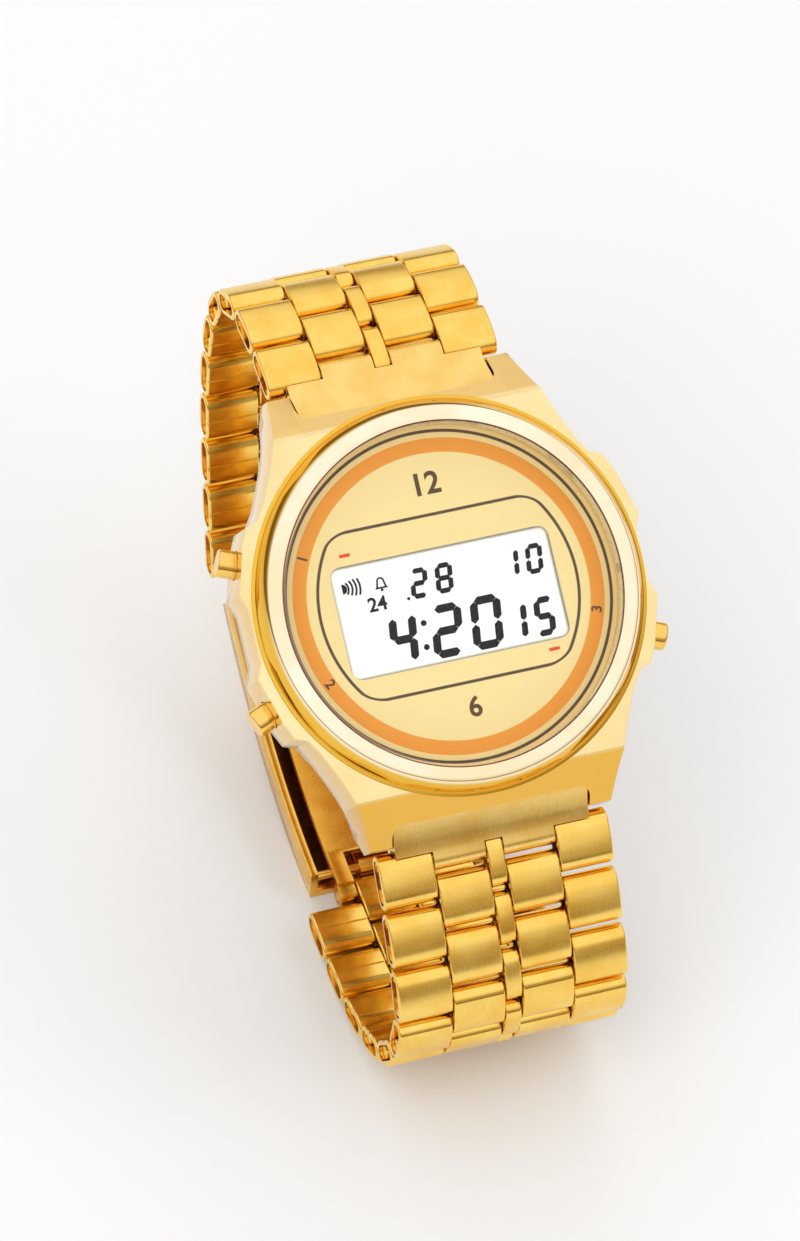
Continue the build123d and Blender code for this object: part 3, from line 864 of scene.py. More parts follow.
@dataclass
class Frame:
    """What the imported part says: its nodes, joints and the head's own frame."""

    data: dict[str, Any]
    dial_to_back: float = 6.4
    sharp_from: float = 34.0

    def joint_place(self, child: str) -> Vector:
        """Where the joint of a moving body is, in metres."""
        joints = self.data["record"]["behaviour"]["joints"]
        return next(Vector(joint["pos_m"]) for joint in joints if joint["child"] == child)

    @property
    def head(self) -> Matrix:
        """The dial's frame, from the case back's mount.

        Returns:
            The frame as a matrix, in metres.
        """
        mount = self.data["record"]["mounts"][0]
        out = -Vector(mount["axis"])
        origin = Vector(mount["pos_m"]) + out * self.dial_to_back * MM
        across = Vector((1, 0, 0))
        turn = Matrix((across, out.cross(across), out)).transposed()
        return Matrix.Translation(origin) @ turn.to_4x4()

    def lay(self, mesh: Mesh, place: Corner = ORIGIN) -> Mesh:
        """Take a mesh in millimetres to the head, with its origin at a place in the dial's frame.

        Args:
            mesh: the mesh.
            place: where its origin goes, in millimetres.

        Returns:
            The same mesh, in place.
        """
        mesh.transform(Matrix.Diagonal((MM, MM, MM, 1.0)))
        mesh.transform(self.head @ Matrix.Translation(Vector(place) * MM))
        return mesh

    def paint(self, name: str, material: Material) -> None:
        """Give a node that is kept its finish.

        Args:
            name: the node.
            material: its material.
        """
        mesh = self.data["nodes"][name].data
        mesh.materials.clear()
        mesh.materials.append(material)

    def softened(self, name: str, width: float, segments: int = 2) -> Mesh:
        """A copy of a node's mesh with small rounded edges.

        Args:
            name: the node.
            width: the rounding's width in millimetres.
            segments: faces across a rounding.

        Returns:
            The finished mesh.
        """
        mesh = self.data["nodes"][name].data.copy()
        work = bmesh.new()
        work.from_mesh(mesh)
        bmesh.ops.remove_doubles(work, verts=work.verts, dist=0.002 * MM)
        bmesh.ops.dissolve_limit(
            work, angle_limit=math.radians(0.6), verts=work.verts, edges=work.edges)
        work.to_mesh(mesh)
        work.free()
        mesh.shade_flat()
        holder = shown(f"{name}_edges", mesh)
        soften(holder, width, segments, self.sharp_from)
        result = evaluated_mesh(holder)
        spend(holder)
        shade(result, 40.0)
        return result


# Geometry Nodes


class NodeTree(NodeGrower):
    """A Geometry Nodes tree built in the script, with named inputs."""

    def __init__(self, name: str) -> None:
        """Start an empty tree with one geometry output.

        Args:
            name: the tree's name.
        """
        super().__init__(bpy.data.node_groups.new(name, "GeometryNodeTree"))
        self.tree.interface.new_socket("Geometry", in_out="OUTPUT", socket_type="NodeSocketGeometry")
        self.inputs: dict[str, str] = {}
        self.entry = self.node("NodeGroupInput")

    def take(self, kinds: dict[str, str]) -> list[Socket]:
        """Add named inputs.

        Args:
            kinds: each input's name, and what kind of value it takes.

        Returns:
            Their sockets inside the tree, in the same order.
        """
        for name, kind in kinds.items():
            item = self.tree.interface.new_socket(name, in_out="INPUT", socket_type=f"NodeSocket{kind}")
            self.inputs[name] = item.identifier
        return [self.entry.outputs[name] for name in kinds]

    def shape(self, source: Socket) -> Socket:
        """The geometry of an object."""
        return self.node("GeometryNodeObjectInfo", inputs={"Object": source}).outputs["Geometry"]

    def copies(self, points: Any, source: Socket, **more: Any) -> Socket:
        """An object on each of some points, with more inputs such as its rotation."""
        return self.node("GeometryNodeInstanceOnPoints", inputs={
            "Points": points, "Instance": self.shape(source), **more}).outputs[0]

    def joined(self, sockets: Iterable[Socket]) -> Socket:
        """Join several geometries.

        Args:
            sockets: the geometries.

        Returns:
            The joined geometry.
        """
        join = self.node("GeometryNodeJoinGeometry")
        for socket in sockets:
            self.tree.links.new(socket, join.inputs[0])
        return join.outputs[0]

    def end(self, geometry: Socket, material: Socket) -> None:
        """Make the instances real, set the material and close the tree.

        Args:
            geometry: what the tree has made.
            material: the material.
        """
        real = self.node("GeometryNodeRealizeInstances", inputs={0: geometry})
        painted = self.node("GeometryNodeSetMaterial", inputs={"Geometry": real.outputs[0], "Material": material})
        self.tree.links.new(painted.outputs[0], self.node("NodeGroupOutput").inputs[0])

    def run(self, name: str, values: dict[str, Any], points: Mesh | None = None) -> Mesh:
        """Run the tree once.

        Args:
            name: the result's name.
            values: the value of each named input.
            points: the mesh that the tree starts from.

        Returns:
            A plain mesh.
        """
        holder = shown(f"{name}_maker", points or bpy.data.meshes.new(f"{name}_start"))
        modifier = holder.modifiers.new("tree", "NODES")
        modifier.node_group = self.tree
        for key, value in values.items():
            modifier[self.inputs[key]] = value
        result = evaluated_mesh(holder)
        result.name = name
        spend(holder)
        return result


# The bracelet


class Strap(Enum):
    """The two straps: their rows' first word and number, which way a row's x points, and half the last pin."""

    UPPER = ("upper", 20, 1.0, 5.27)
    LOWER = ("lower", 18, -1.0, 6.9)

    def __init__(self, title: str, count: int, side: float, last_pin: float) -> None:
        """Name the parts of the strap's value."""
        self.title, self.count, self.side, self.last_pin = title, count, side, last_pin


@dataclass
class Link:
    """One folded link: a strip rolled round two pins, seen as a rounded box with hollow ends."""

    half_width: float
    spacing: float = 2.5
    radius: float = 1.09
    arch_lean: float = 0.185
    wall: float = 0.42
    edge: float = 0.17
    edge_steps: int = 4
    roll_steps: int = 8
    arch_steps: int = 6
    seam_half: float = 0.1
    seam_depth: float = 0.1
    recess: float = 0.95
    recess_share: float = 0.6
    last_length: float = 0.4

    def section(self, inset: float) -> list[Corner]:
        """The outline in the strap's plane.

        Args:
            inset: how far it is drawn in from the full size.

        Returns:
            For each corner: along the strap, out of the loop, and the length along the strip.
        """
        radius = self.radius - inset
        middle = self.spacing / 2
        half = middle + radius * math.sin(self.arch_lean)
        rise = half * math.tan(self.arch_lean) / 2
        points: list[Point] = []
        for step in range(self.arch_steps + 1):
            share = 2 * step / self.arch_steps - 1
            points.append((middle + half * share, radius * math.cos(self.arch_lean) + rise * (1 - share * share)))
        turn = HALF_TURN - self.arch_lean
        for step in range(1, self.roll_steps):
            angle = turn * (1 - step / self.roll_steps) - QUARTER_TURN
            points.append((self.spacing + radius * math.cos(angle), radius * math.sin(angle)))
        points += [
            (self.spacing, -radius),
            (middle + self.seam_half, -radius),
            (middle, -radius + self.seam_depth),
            (middle - self.seam_half, -radius),
            (0.0, -radius),
        ]
        for step in range(1, self.roll_steps):
            angle = -QUARTER_TURN - turn * step / self.roll_steps
            points.append((radius * math.cos(angle), radius * math.sin(angle)))
        lengths = [0.0]
        for first, second in zip(points, points[1:]):
            lengths.append(lengths[-1] + math.dist(first, second))
        start = lengths[self.arch_steps] / 2
        return [(y, z, length - start) for (y, z), length in zip(points, lengths)]

    def hollow(self, outline: Sequence[Corner]) -> list[Corner]:
        """The opening in a link's side: a rounded slot with as many corners as an outline, and its lengths.

        Args:
            outline: the outline.

        Returns:
            For each corner: along the strap, out of the loop, and the outline's length.
        """
        corners = []
        for (y, z, _), (_, _, length) in zip(self.section(0.0), outline):
            near = min(max(y, 0.0), self.spacing)
            away = Vector((y - near, z)).normalized() * (self.radius - self.wall)
            corners.append((near + away.x, away.y, length))
        return corners

    def mesh(self, name: str) -> Mesh:
        """Build the link about x = 0, with its first pin at the origin.

        Args:
            name: the mesh's name.

        Returns:
            The mesh, with its own map.
        """
        stations: list[tuple[float, list[Corner]]] = []
        for step in range(self.edge_steps + 1):
            angle = QUARTER_TURN * step / self.edge_steps
            inset = self.edge * (1 - math.sin(angle))
            stations.append((-self.half_width + self.edge * (1 - math.cos(angle)), self.section(inset)))
        stations += [(-x, section) for x, section in reversed(stations)]
        slot = self.hollow(stations[0][1])
        inner = self.half_width - min(self.recess, self.half_width * self.recess_share)
        stations = [(-inner, slot), (-self.half_width, slot), *stations, (self.half_width, slot), (inner, slot)]
        work = bmesh.new()
        layer = work.loops.layers.uv.new("UVMap")
        rows = [[work.verts.new((x * MM, y * MM, z * MM)) for y, z, _ in section] for x, section in stations]
        for first in range(len(rows) - 1):
            for index in range(len(slot)):
                after = (index + 1) % len(slot)
                corners = ((first, index), (first, after), (first + 1, after), (first + 1, index))
                face = work.faces.new([rows[row][place] for row, place in corners])
                for loop, (row, place) in zip(face.loops, corners):
                    x, section = stations[row]
                    closes = after == 0 and place == 0
                    length = section[-1][2] + self.last_length if closes else section[place][2]
                    loop[layer].uv = (x * MAP_SHARE, length * MAP_SHARE)
        work.faces.new(rows[0])
        work.faces.new(list(reversed(rows[-1])))
        bmesh.ops.recalc_face_normals(work, faces=work.faces)
        return filled(name, work)


@dataclass
class Bracelet:
    """Both straps: rows of folded links, each row one piece on its own body."""

    frame: Frame
    finish: SatinGold
    band_half: float = 10.0
    outer_width: float = 4.65
    centre_width: float = 1.4
    centre_edge: float = 0.14
    gap: float = 0.08
    spacing: float = 2.5
    pin_radius: float = 0.6
    pin_edge: float = 0.12
    pin_recess: float = 0.3

    def pins(self, strap: Strap) -> list[Vector]:
        """The places of a strap's pins, in the side view, in metres.

        Args:
            strap: the strap.

        Returns:
            The places, from the head outwards, and one more past the last row.
        """
        places = [self.frame.joint_place(f"{strap.title}_row_{row + 1:02d}") for row in range(strap.count)]
        if strap is Strap.LOWER:
            return [*places, self.frame.joint_place("clasp_lower_blade")]
        steps = [after - before for before, after in zip(places, places[1:])]
        headings = [math.atan2(step.z, step.y) for step in steps]
        turns = [after - before for before, after in zip(headings, headings[1:])]
        heading = headings[-1] + 2 * turns[-1] - turns[-2]
        return [*places, places[-1] + Vector((0, math.cos(heading), math.sin(heading))) * self.spacing * MM]

    def row_frame(self, first: Vector, second: Vector, side: float) -> Matrix:
        """The frame of a row: y along the strap and z out of the loop.

        Args:
            first: its first pin.
            second: its far pin.
            side: which way its x axis points.

        Returns:
            The frame as a matrix, in metres.
        """
        along = (second - first).normalized()
        across = Vector((side, 0, 0))
        turn = Matrix((across, along, across.cross(along))).transposed()
        return Matrix.Translation(first) @ turn.to_4x4()

    def pin(self, name: str, half: float) -> bpy.types.Object:
        """A hinge pin with rounded ends, along x at the row's far end.

        Args:
            name: its name.
            half: half its length in millimetres.

        Returns:
            The pin.
        """
        radius, edge = self.pin_radius, self.pin_edge
        end = [(0, half), (radius - edge, half), (radius - edge * 0.3, half - edge * 0.3), (radius, half - edge)]
        profile = [(across, -along) for across, along in end] + end[::-1]
        turn = Matrix.Translation((0, self.spacing * MM, 0)) @ Matrix.Rotation(QUARTER_TURN, 4, "Y")
        return shown(name, lathe(name, profile, turn, 20))

    def tree(self) -> NodeTree:
        """The tree that lays out one row: two side links, a middle link and a pin, put in the row's place.

        Returns:
            The tree.
        """
        tree = NodeTree("row_of_links")
        side_link, offset, middle_link, pin, place, turn, material = tree.take({
            "Side link": "Object", "Side offset": "Float", "Middle link": "Object", "Pin": "Object",
            "Place": "Vector", "Turn": "Vector", "Material": "Material"})
        line = tree.node("GeometryNodeMeshLine", {"mode": "END_POINTS"}, {
            "Count": 2, "Start Location": tree.vector(Amount(tree, offset) * -1.0), "Offset": tree.vector(offset)})
        row = tree.joined([tree.copies(line.outputs[0], side_link), tree.shape(middle_link), tree.shape(pin)])
        put = tree.node("GeometryNodeTransform", inputs={
            "Geometry": row, "Translation": place, "Rotation": turn})
        tree.end(put.outputs[0], material)
        return tree

    def build(self) -> None:
        """Make every row and let it stand for its node."""
        tree = self.tree()
        inner_from = self.centre_width / 2 + self.gap
        inner_to = self.band_half - self.outer_width - self.gap
        outer = shown("outer_link", Link(self.outer_width / 2).mesh("outer_link"))
        inner = shown("inner_link", Link((inner_to - inner_from) / 2).mesh("inner_link"))
        centre = shown("centre_link", Link(self.centre_width / 2, edge=self.centre_edge).mesh("centre_link"))
        nothing = shown("no_link", bpy.data.meshes.new("no_link"))
        full_pin = self.pin("full_pin", self.band_half - self.pin_recess)
        odd = {"Side link": outer, "Side offset": (self.band_half - self.outer_width / 2) * MM, "Middle link": centre}
        even = {"Side link": inner, "Side offset": (inner_from + inner_to) / 2 * MM, "Middle link": nothing}
        material = self.finish.material()
        for strap in Strap:
            last_pin = self.pin(f"{strap.title}_last_pin", strap.last_pin)
            pins = self.pins(strap)
            for row in range(strap.count):
                put = self.row_frame(pins[row], pins[row + 1], strap.side)
                node = f"{strap.title}_row_{row + 1:02d}"
                mesh = tree.run(f"{node}_links", {
                    **(even if row % 2 else odd),
                    "Pin": last_pin if row == strap.count - 1 else full_pin,
                    "Place": tuple(put.to_translation()),
                    "Turn": tuple(put.to_euler()),
                    "Material": material,
                })
                shade(mesh, 40.0)
                fit(shown(f"{node}_links", mesh), node, "link_gold", node)
            spend(last_pin)
        spend(outer, inner, centre, nothing, full_pin)


# The head


@dataclass
class Head:
    """The case with its bezel, crystal, dial, back and push buttons."""

    frame: Frame
    round_steps: int = 160
    slope_start: float = 15.2
    slope_fall: float = 1.01266
    slot_corner: Point = (8.6, 16.4)
    slot_turn: float = 0.9
    lip_grip: float = 0.3
    lip_back: float = 0.12
    lip_thickness: float = 0.16
    lip_level: float = 0.152
    lip_reach: dict[str, float] = field(default_factory=lambda: {"upper": 0.5, "lower": 1.15})
    bezel_foot: tuple[Corner, ...] = (
        (14.42, 1.93, 0.0), (14.53, 1.93, 0.0), (14.9, 1.57, 0.0), (14.9, 0.6, 0.0), (14.3, 0.6, 0.05),
        (14.3, 0.05, 0.0), (14.6, 0.05, 0.0), (14.6, 0.3, 0.0), (16.7, 0.3, 0.03), (16.7, 0.42, 0.04),
        (16.42, 0.5, 0.03), (16.38, 0.56, 0.05))
    bezel_crown: tuple[Corner, ...] = ((15.6, 2.0, 0.12), (15.2, 2.1, 0.3), (14.42, 2.0, 0.03))
    bezel_bulge: float = 0.06
    crystal_radius: float = 14.85
    crystal_bottom: float = 0.78
    crystal_top: float = 1.9
    crystal_bevel: float = 0.35
    dial_radius: float = 14.6
    dial_thickness: float = 0.4
    window_half: Point = (9.5, 4.75)
    window_rounding: float = 1.12
    window_drop: float = 0.57
    pusher_depth: float = 2.7
    pusher_tip: float = 19.17
    pusher_cap_end: float = 16.9
    pusher_stem_end: float = 14.5
    pusher_radius: float = 1.175
    stem_radius: float = 0.6
    pushers: dict[str, float] = field(default_factory=lambda: {
        "pusher_lower_right": -21.0, "pusher_upper_left": 159.0, "pusher_lower_left": 201.0})

    def turned(self, name: str, corners: Sequence[Corner]) -> Mesh:
        """A mesh turned about the dial's middle, with rounded corners."""
        return lathe(name, rounded(corners), self.frame.head, self.round_steps)

    def build_case(self) -> None:
        """The case with its two thin lips, and the end links, with softened edges."""
        # Lit and shaded copies of one plating: the pale gold is the lit tone, and the deeper gold is painted shade on
        # the slope towards 6 o'clock and the side walls.
        polished = PolishedGold(
            "case_gold", screen_colour(255, 233, 176), screen_colour(236, 184, 82), self.frame.head,
            Zone.CASE, self.slope_start).material()
        satin = SatinGold("end_link_gold", screen_colour(255, 220, 134), screen_colour(244, 198, 104),
                          on_strip=False).material()
        fit(shown("watch_case", self.frame.softened("case", 0.14, 3), polished), "head", "case_gold", "case")
        for end, side in (("upper", 1), ("lower", -1)):
            lip = self.lip(f"{end}_case_lip", side, self.lip_reach[end])
            fit(shown(f"{end}_case_lip", lip, polished), "head", "case_gold")
            plate = self.frame.softened(f"end_link_{end}", 0.12, 3)
            fit(shown(f"{end}_end_plate", plate, satin), "head", "link_gold", f"end_link_{end}")

    def lip(self, name: str, side: int, reach: float) -> Mesh:
        """The case's sloping face carried on over an end link, to a front edge with rounded corners.

        Args:
            name: the mesh's name.
            side: 1 at 12 o'clock and -1 at 6 o'clock.
            reach: how far it covers the end link, in millimetres.

        Returns:
            The lip, in place.
        """
        half, start = self.slot_corner
        turn, grip, front = self.slot_turn, self.lip_grip, start + reach
        angles = [QUARTER_TURN * step / 8 for step in range(9)]
        arc = [(half - turn * (1 - math.sin(angle)), front + turn * (1 - math.cos(angle))) for angle in angles]
        right = [*arc, (half + grip, front + turn), (half + grip, self.slope_start + self.lip_back)]
        work = bmesh.new()
        add_plate(work, right + [(-x, y) for x, y in reversed(right)], self.lip_thickness)
        for vertex in work.verts:
            vertex.co.z += self.lip_level - self.slope_fall * (vertex.co.y - self.slope_start)
            vertex.co.y *= side
        bmesh.ops.recalc_face_normals(work, faces=work.faces)
        return self.frame.lay(filled(name, work))

    def build_bezel(self) -> None:
        """The bezel: a low skirt, a steep wall, and a flat top whose lip rolls over the crystal's edge."""
        # Painted light: the bezel's near-white gold is a painted highlight, and the deeper gold on its outer wall and
        # foot is painted shade for a darker reflection.
        finish = PolishedGold(
            "bezel_gold", screen_colour(255, 247, 222), screen_colour(240, 190, 70), self.frame.head,
            Zone.FOOT, painted_shade_from=15.75, matt_within=14.4, roughness=0.045)
        (foot, low, _), (shoulder, high, _) = self.bezel_foot[-1], self.bezel_crown[0]
        wall = []
        for step in range(1, 8):
            share = step / 8
            bulge = 4 * share * (1 - share) * self.bezel_bulge
            wall.append((foot + (shoulder - foot) * share + bulge, low + (high - low) * share + bulge * 0.6, 0.0))
        mesh = self.turned("bezel_ring", [*self.bezel_foot, *wall, *self.bezel_crown])
        fit(shown("bezel_ring", mesh, finish.material()), "head", "bezel_gold", "bezel")

    def build_crystal(self) -> None:
        """The crystal, clear, with a bevelled edge."""
        radius, top, bevel = self.crystal_radius, self.crystal_top, self.crystal_bevel
        mesh = self.turned("watch_crystal", [
            (0, self.crystal_bottom, 0), (radius, self.crystal_bottom, 0), (radius, top - bevel, 0.1),
            (radius - bevel, top, 0.1), (0, top, 0)])
        glass = ClearGlass("crystal_glass", self.frame.head).material()
        fit(shown("watch_crystal", mesh, glass), "head", "crystal_glass", "crystal")

    def build_pushers(self) -> None:
        """The three push buttons, each on its own body."""
        gold = PolishedGold("pusher_gold", screen_colour(250, 208, 112), screen_colour(240, 188, 82),
                            roughness=0.12).material()
        tip, radius, stem = self.pusher_tip, self.pusher_radius, self.stem_radius
        profile = rounded([
            (0, self.pusher_stem_end, 0), (stem, self.pusher_stem_end, 0.1), (stem, self.pusher_cap_end, 0),
            (radius, self.pusher_cap_end, 0.1), (radius, tip, 0.28), (radius * 0.72, tip, 0.1),
            (0, tip - 0.04, 0)], 5)
        for name, degrees in self.pushers.items():
            angle = math.radians(degrees)
            out = Vector((math.cos(angle), math.sin(angle), 0))
            side = Vector((0, 0, 1))
            turn = Matrix((side, out.cross(side), out)).transposed().to_4x4()
            put = self.frame.head @ Matrix.Translation((0, 0, -self.pusher_depth * MM)) @ turn
            fit(shown(f"{name}_button", lathe(f"{name}_button", profile, put, 48), gold), name, "pusher_gold", name)

    def build_inside(self) -> None:
        """The kept nodes: the display's glass, the module, the seals and the spring bars, each with its finish."""
        head = self.frame.head
        finishes: dict[str, Finish] = {
            "lcd_panel": DisplayGlass("display_glass", head),
            "lcd_connectors": StripedRubber("connector_stripes"),
            "module_frame": Moulded("module_black", (0.02, 0.02, 0.022)),
            "circuit_board": PrintedBoard("board_green", head),
            "battery": Steel("cell_steel", (0.72, 0.71, 0.69), head, 0.25),
            "crystal_gasket": Moulded("crystal_seal", screen_colour(254, 226, 160), 0.5),
            "case_back_gasket": Moulded("back_seal", (0.02, 0.02, 0.02), 0.7),
            "lug_spring_bars": Steel("bar_steel", (0.62, 0.62, 0.61)),
        }
        for name, finish in finishes.items():
            self.frame.paint(name, finish.material())
            LOG.info("%s: kept, in %s", name, finish.name)

    def build_dial(self) -> None:
        """The dial plate, with a rounded window whose edge is softened."""
        radius, thickness = self.dial_radius, self.dial_thickness
        plate = shown("dial_blank", self.turned("dial_blank", [
            (0, -thickness, 0), (radius, -thickness, 0), (radius, 0, 0), (0, 0, 0)]))
        half_x, half_y = self.window_half
        window = rounded([(x * half_x, y * half_y, self.window_rounding)
                          for x, y in ((1, 1), (-1, 1), (-1, -1), (1, -1))], 8)
        work = bmesh.new()
        add_plate(work, window, 4 * thickness)
        punch = shown("dial_punch", self.frame.lay(
            filled("dial_punch", work), (0.0, -self.window_drop, -2 * thickness)))
        cut_out(plate, punch)
        soften(plate, 0.06, 2, 50)
        mesh = evaluated_mesh(plate)
        shade(mesh)
        spend(punch, plate)
        material = DialPrint("dial_print", self.frame.head).material()
        fit(shown("printed_dial", mesh, material), "head", "dial_paint", "dial")

    def build_back(self) -> None:
        """The steel back and its four slotted screws."""
        steel = Steel("back_steel", (0.6, 0.59, 0.57), self.frame.head, 0.26).material()
        mesh = self.frame.softened("case_back", 0.08)
        fit(shown("steel_back", mesh, steel), "head", "back_steel", "case_back")
        screws = BackScrews(self.frame).mesh(Steel("screw_steel", (0.66, 0.65, 0.63), None, 0.18).material())
        fit(shown("back_screws", screws), "head", "screw_steel", "case_back_screws")

    def build(self) -> None:
        """Make every piece of the head, apart from what the display shows."""
        for make in (self.build_case, self.build_bezel, self.build_crystal, self.build_pushers,
                     self.build_inside, self.build_dial, self.build_back):
            make()


@dataclass
class BackScrews:
    """Four slotted screws on the case back's diagonals."""

    frame: Frame
    count: int = 4
    reach: float = 15.776
    floor: float = -6.4
    head_radius: float = 0.85
    head_height: float = 0.4
    shank_radius: float = 0.5
    length: float = 2.6
    slot_half: float = 0.13
    slot_depth: float = 0.18
    slot_turn: float = 1.9
    corners: int = 32

    def unit(self) -> bpy.types.Object:
        """One screw about the origin, head down.

        Returns:
            The screw.
        """
        head, shank = self.head_radius, self.shank_radius
        profile = rounded([(0, 0, 0), (head, 0, 0.1), (head, self.head_height, 0), (shank, self.head_height, 0),
                           (shank, self.length, 0.1), (0, self.length, 0)], 3)
        blank = shown("screw_blank", lathe("screw_blank", profile, Matrix.Identity(4), self.corners))
        work = bmesh.new()
        bmesh.ops.create_cube(work, size=1.0)
        size = Vector((2.4 * head, 2 * self.slot_half, 2 * self.slot_depth)) * MM
        bmesh.ops.scale(work, vec=size, verts=work.verts)
        cutter = shown("screw_slot", filled("screw_slot", work))
        cut_out(blank, cutter)
        mesh = evaluated_mesh(blank)
        shade(mesh)
        spend(cutter, blank)
        return shown("screw_unit", mesh)

    def mesh(self, material: Material) -> Mesh:
        """All four screws as one mesh, in place.

        Args:
            material: their material.

        Returns:
            The mesh.
        """
        tree = NodeTree("ring_of_screws")
        source, count, reach, paint = tree.take({
            "Screw": "Object", "Count": "Int", "Reach": "Float", "Material": "Material"})
        ring = tree.node("GeometryNodeMeshCircle", inputs={"Vertices": count, "Radius": reach})
        index = Amount(tree, tree.node("GeometryNodeInputIndex").outputs[0])
        turn = tree.vector(0.0, 0.0, index * self.slot_turn)
        tree.end(tree.copies(ring.outputs[0], source, Rotation=turn), paint)
        screw = self.unit()
        mesh = tree.run("back_screws", {
            "Screw": screw, "Count": self.count, "Reach": self.reach * MM, "Material": material})
        spend(screw)
        mesh.transform(self.frame.head @ Matrix.Translation((0, 0, self.floor * MM))
                       @ Matrix.Rotation(QUARTER_TURN / 2, 4, "Z"))
        return mesh


# What the display and the dial show


def arc_band(centre: Point, inner: float, outer: float, start: float, end: float, steps: int) -> list[Point]:
    """The outline of a piece of a ring, or of a disc where the inner radius is zero.

    Args:
        centre: the ring's middle.
        inner: its inner radius.
        outer: its outer radius.
        start: where it starts, in radians.
        end: where it ends.
        steps: straight pieces along it.

    Returns:
        The outline's corners, round it once.
    """
    def line(radius: float) -> list[Point]:
        """The points of one arc."""
        angles = [start + (end - start) * step / steps for step in range(steps + 1)]
        return [(centre[0] + radius * math.cos(angle), centre[1] + radius * math.sin(angle)) for angle in angles]
    if inner > 0:
        return line(outer) + line(inner)[::-1]
    return line(outer)[:-1] if end - start == FULL_TURN else [centre, *line(outer)]


class Bar(Enum):
    """The seven bars of a digit: centre as shares of half width and half height, and whether it lies flat."""

    TOP = (0.0, 1.0, True)
    UPPER_RIGHT = (1.0, 0.5, False)
    LOWER_RIGHT = (1.0, -0.5, False)
    BOTTOM = (0.0, -1.0, True)
    LOWER_LEFT = (-1.0, -0.5, False)
    UPPER_LEFT = (-1.0, 0.5, False)
    MIDDLE = (0.0, 0.0, True)


LIT_BARS = {
    "0": (Bar.TOP, Bar.UPPER_RIGHT, Bar.LOWER_RIGHT, Bar.BOTTOM, Bar.LOWER_LEFT, Bar.UPPER_LEFT),
    "1": (Bar.UPPER_RIGHT, Bar.LOWER_RIGHT),
    "2": (Bar.TOP, Bar.UPPER_RIGHT, Bar.MIDDLE, Bar.LOWER_LEFT, Bar.BOTTOM),
    "4": (Bar.UPPER_LEFT, Bar.UPPER_RIGHT, Bar.MIDDLE, Bar.LOWER_RIGHT),
    "5": (Bar.TOP, Bar.UPPER_LEFT, Bar.MIDDLE, Bar.LOWER_RIGHT, Bar.BOTTOM),
    "8": tuple(Bar),
}


@dataclass(frozen=True)
class Digit:
    """One digit: its value, centre, size and stroke, in the dial's millimetres."""

    value: str
    x: float
    y: float
    width: float
    height: float
    stroke: float


@dataclass(frozen=True)
class Number:
    """A plain number: its digits, centre and height in the dial's millimetres, and its turn in degrees."""

    text: str
    x: float
    y: float
    height: float
    turn: float = 0.0


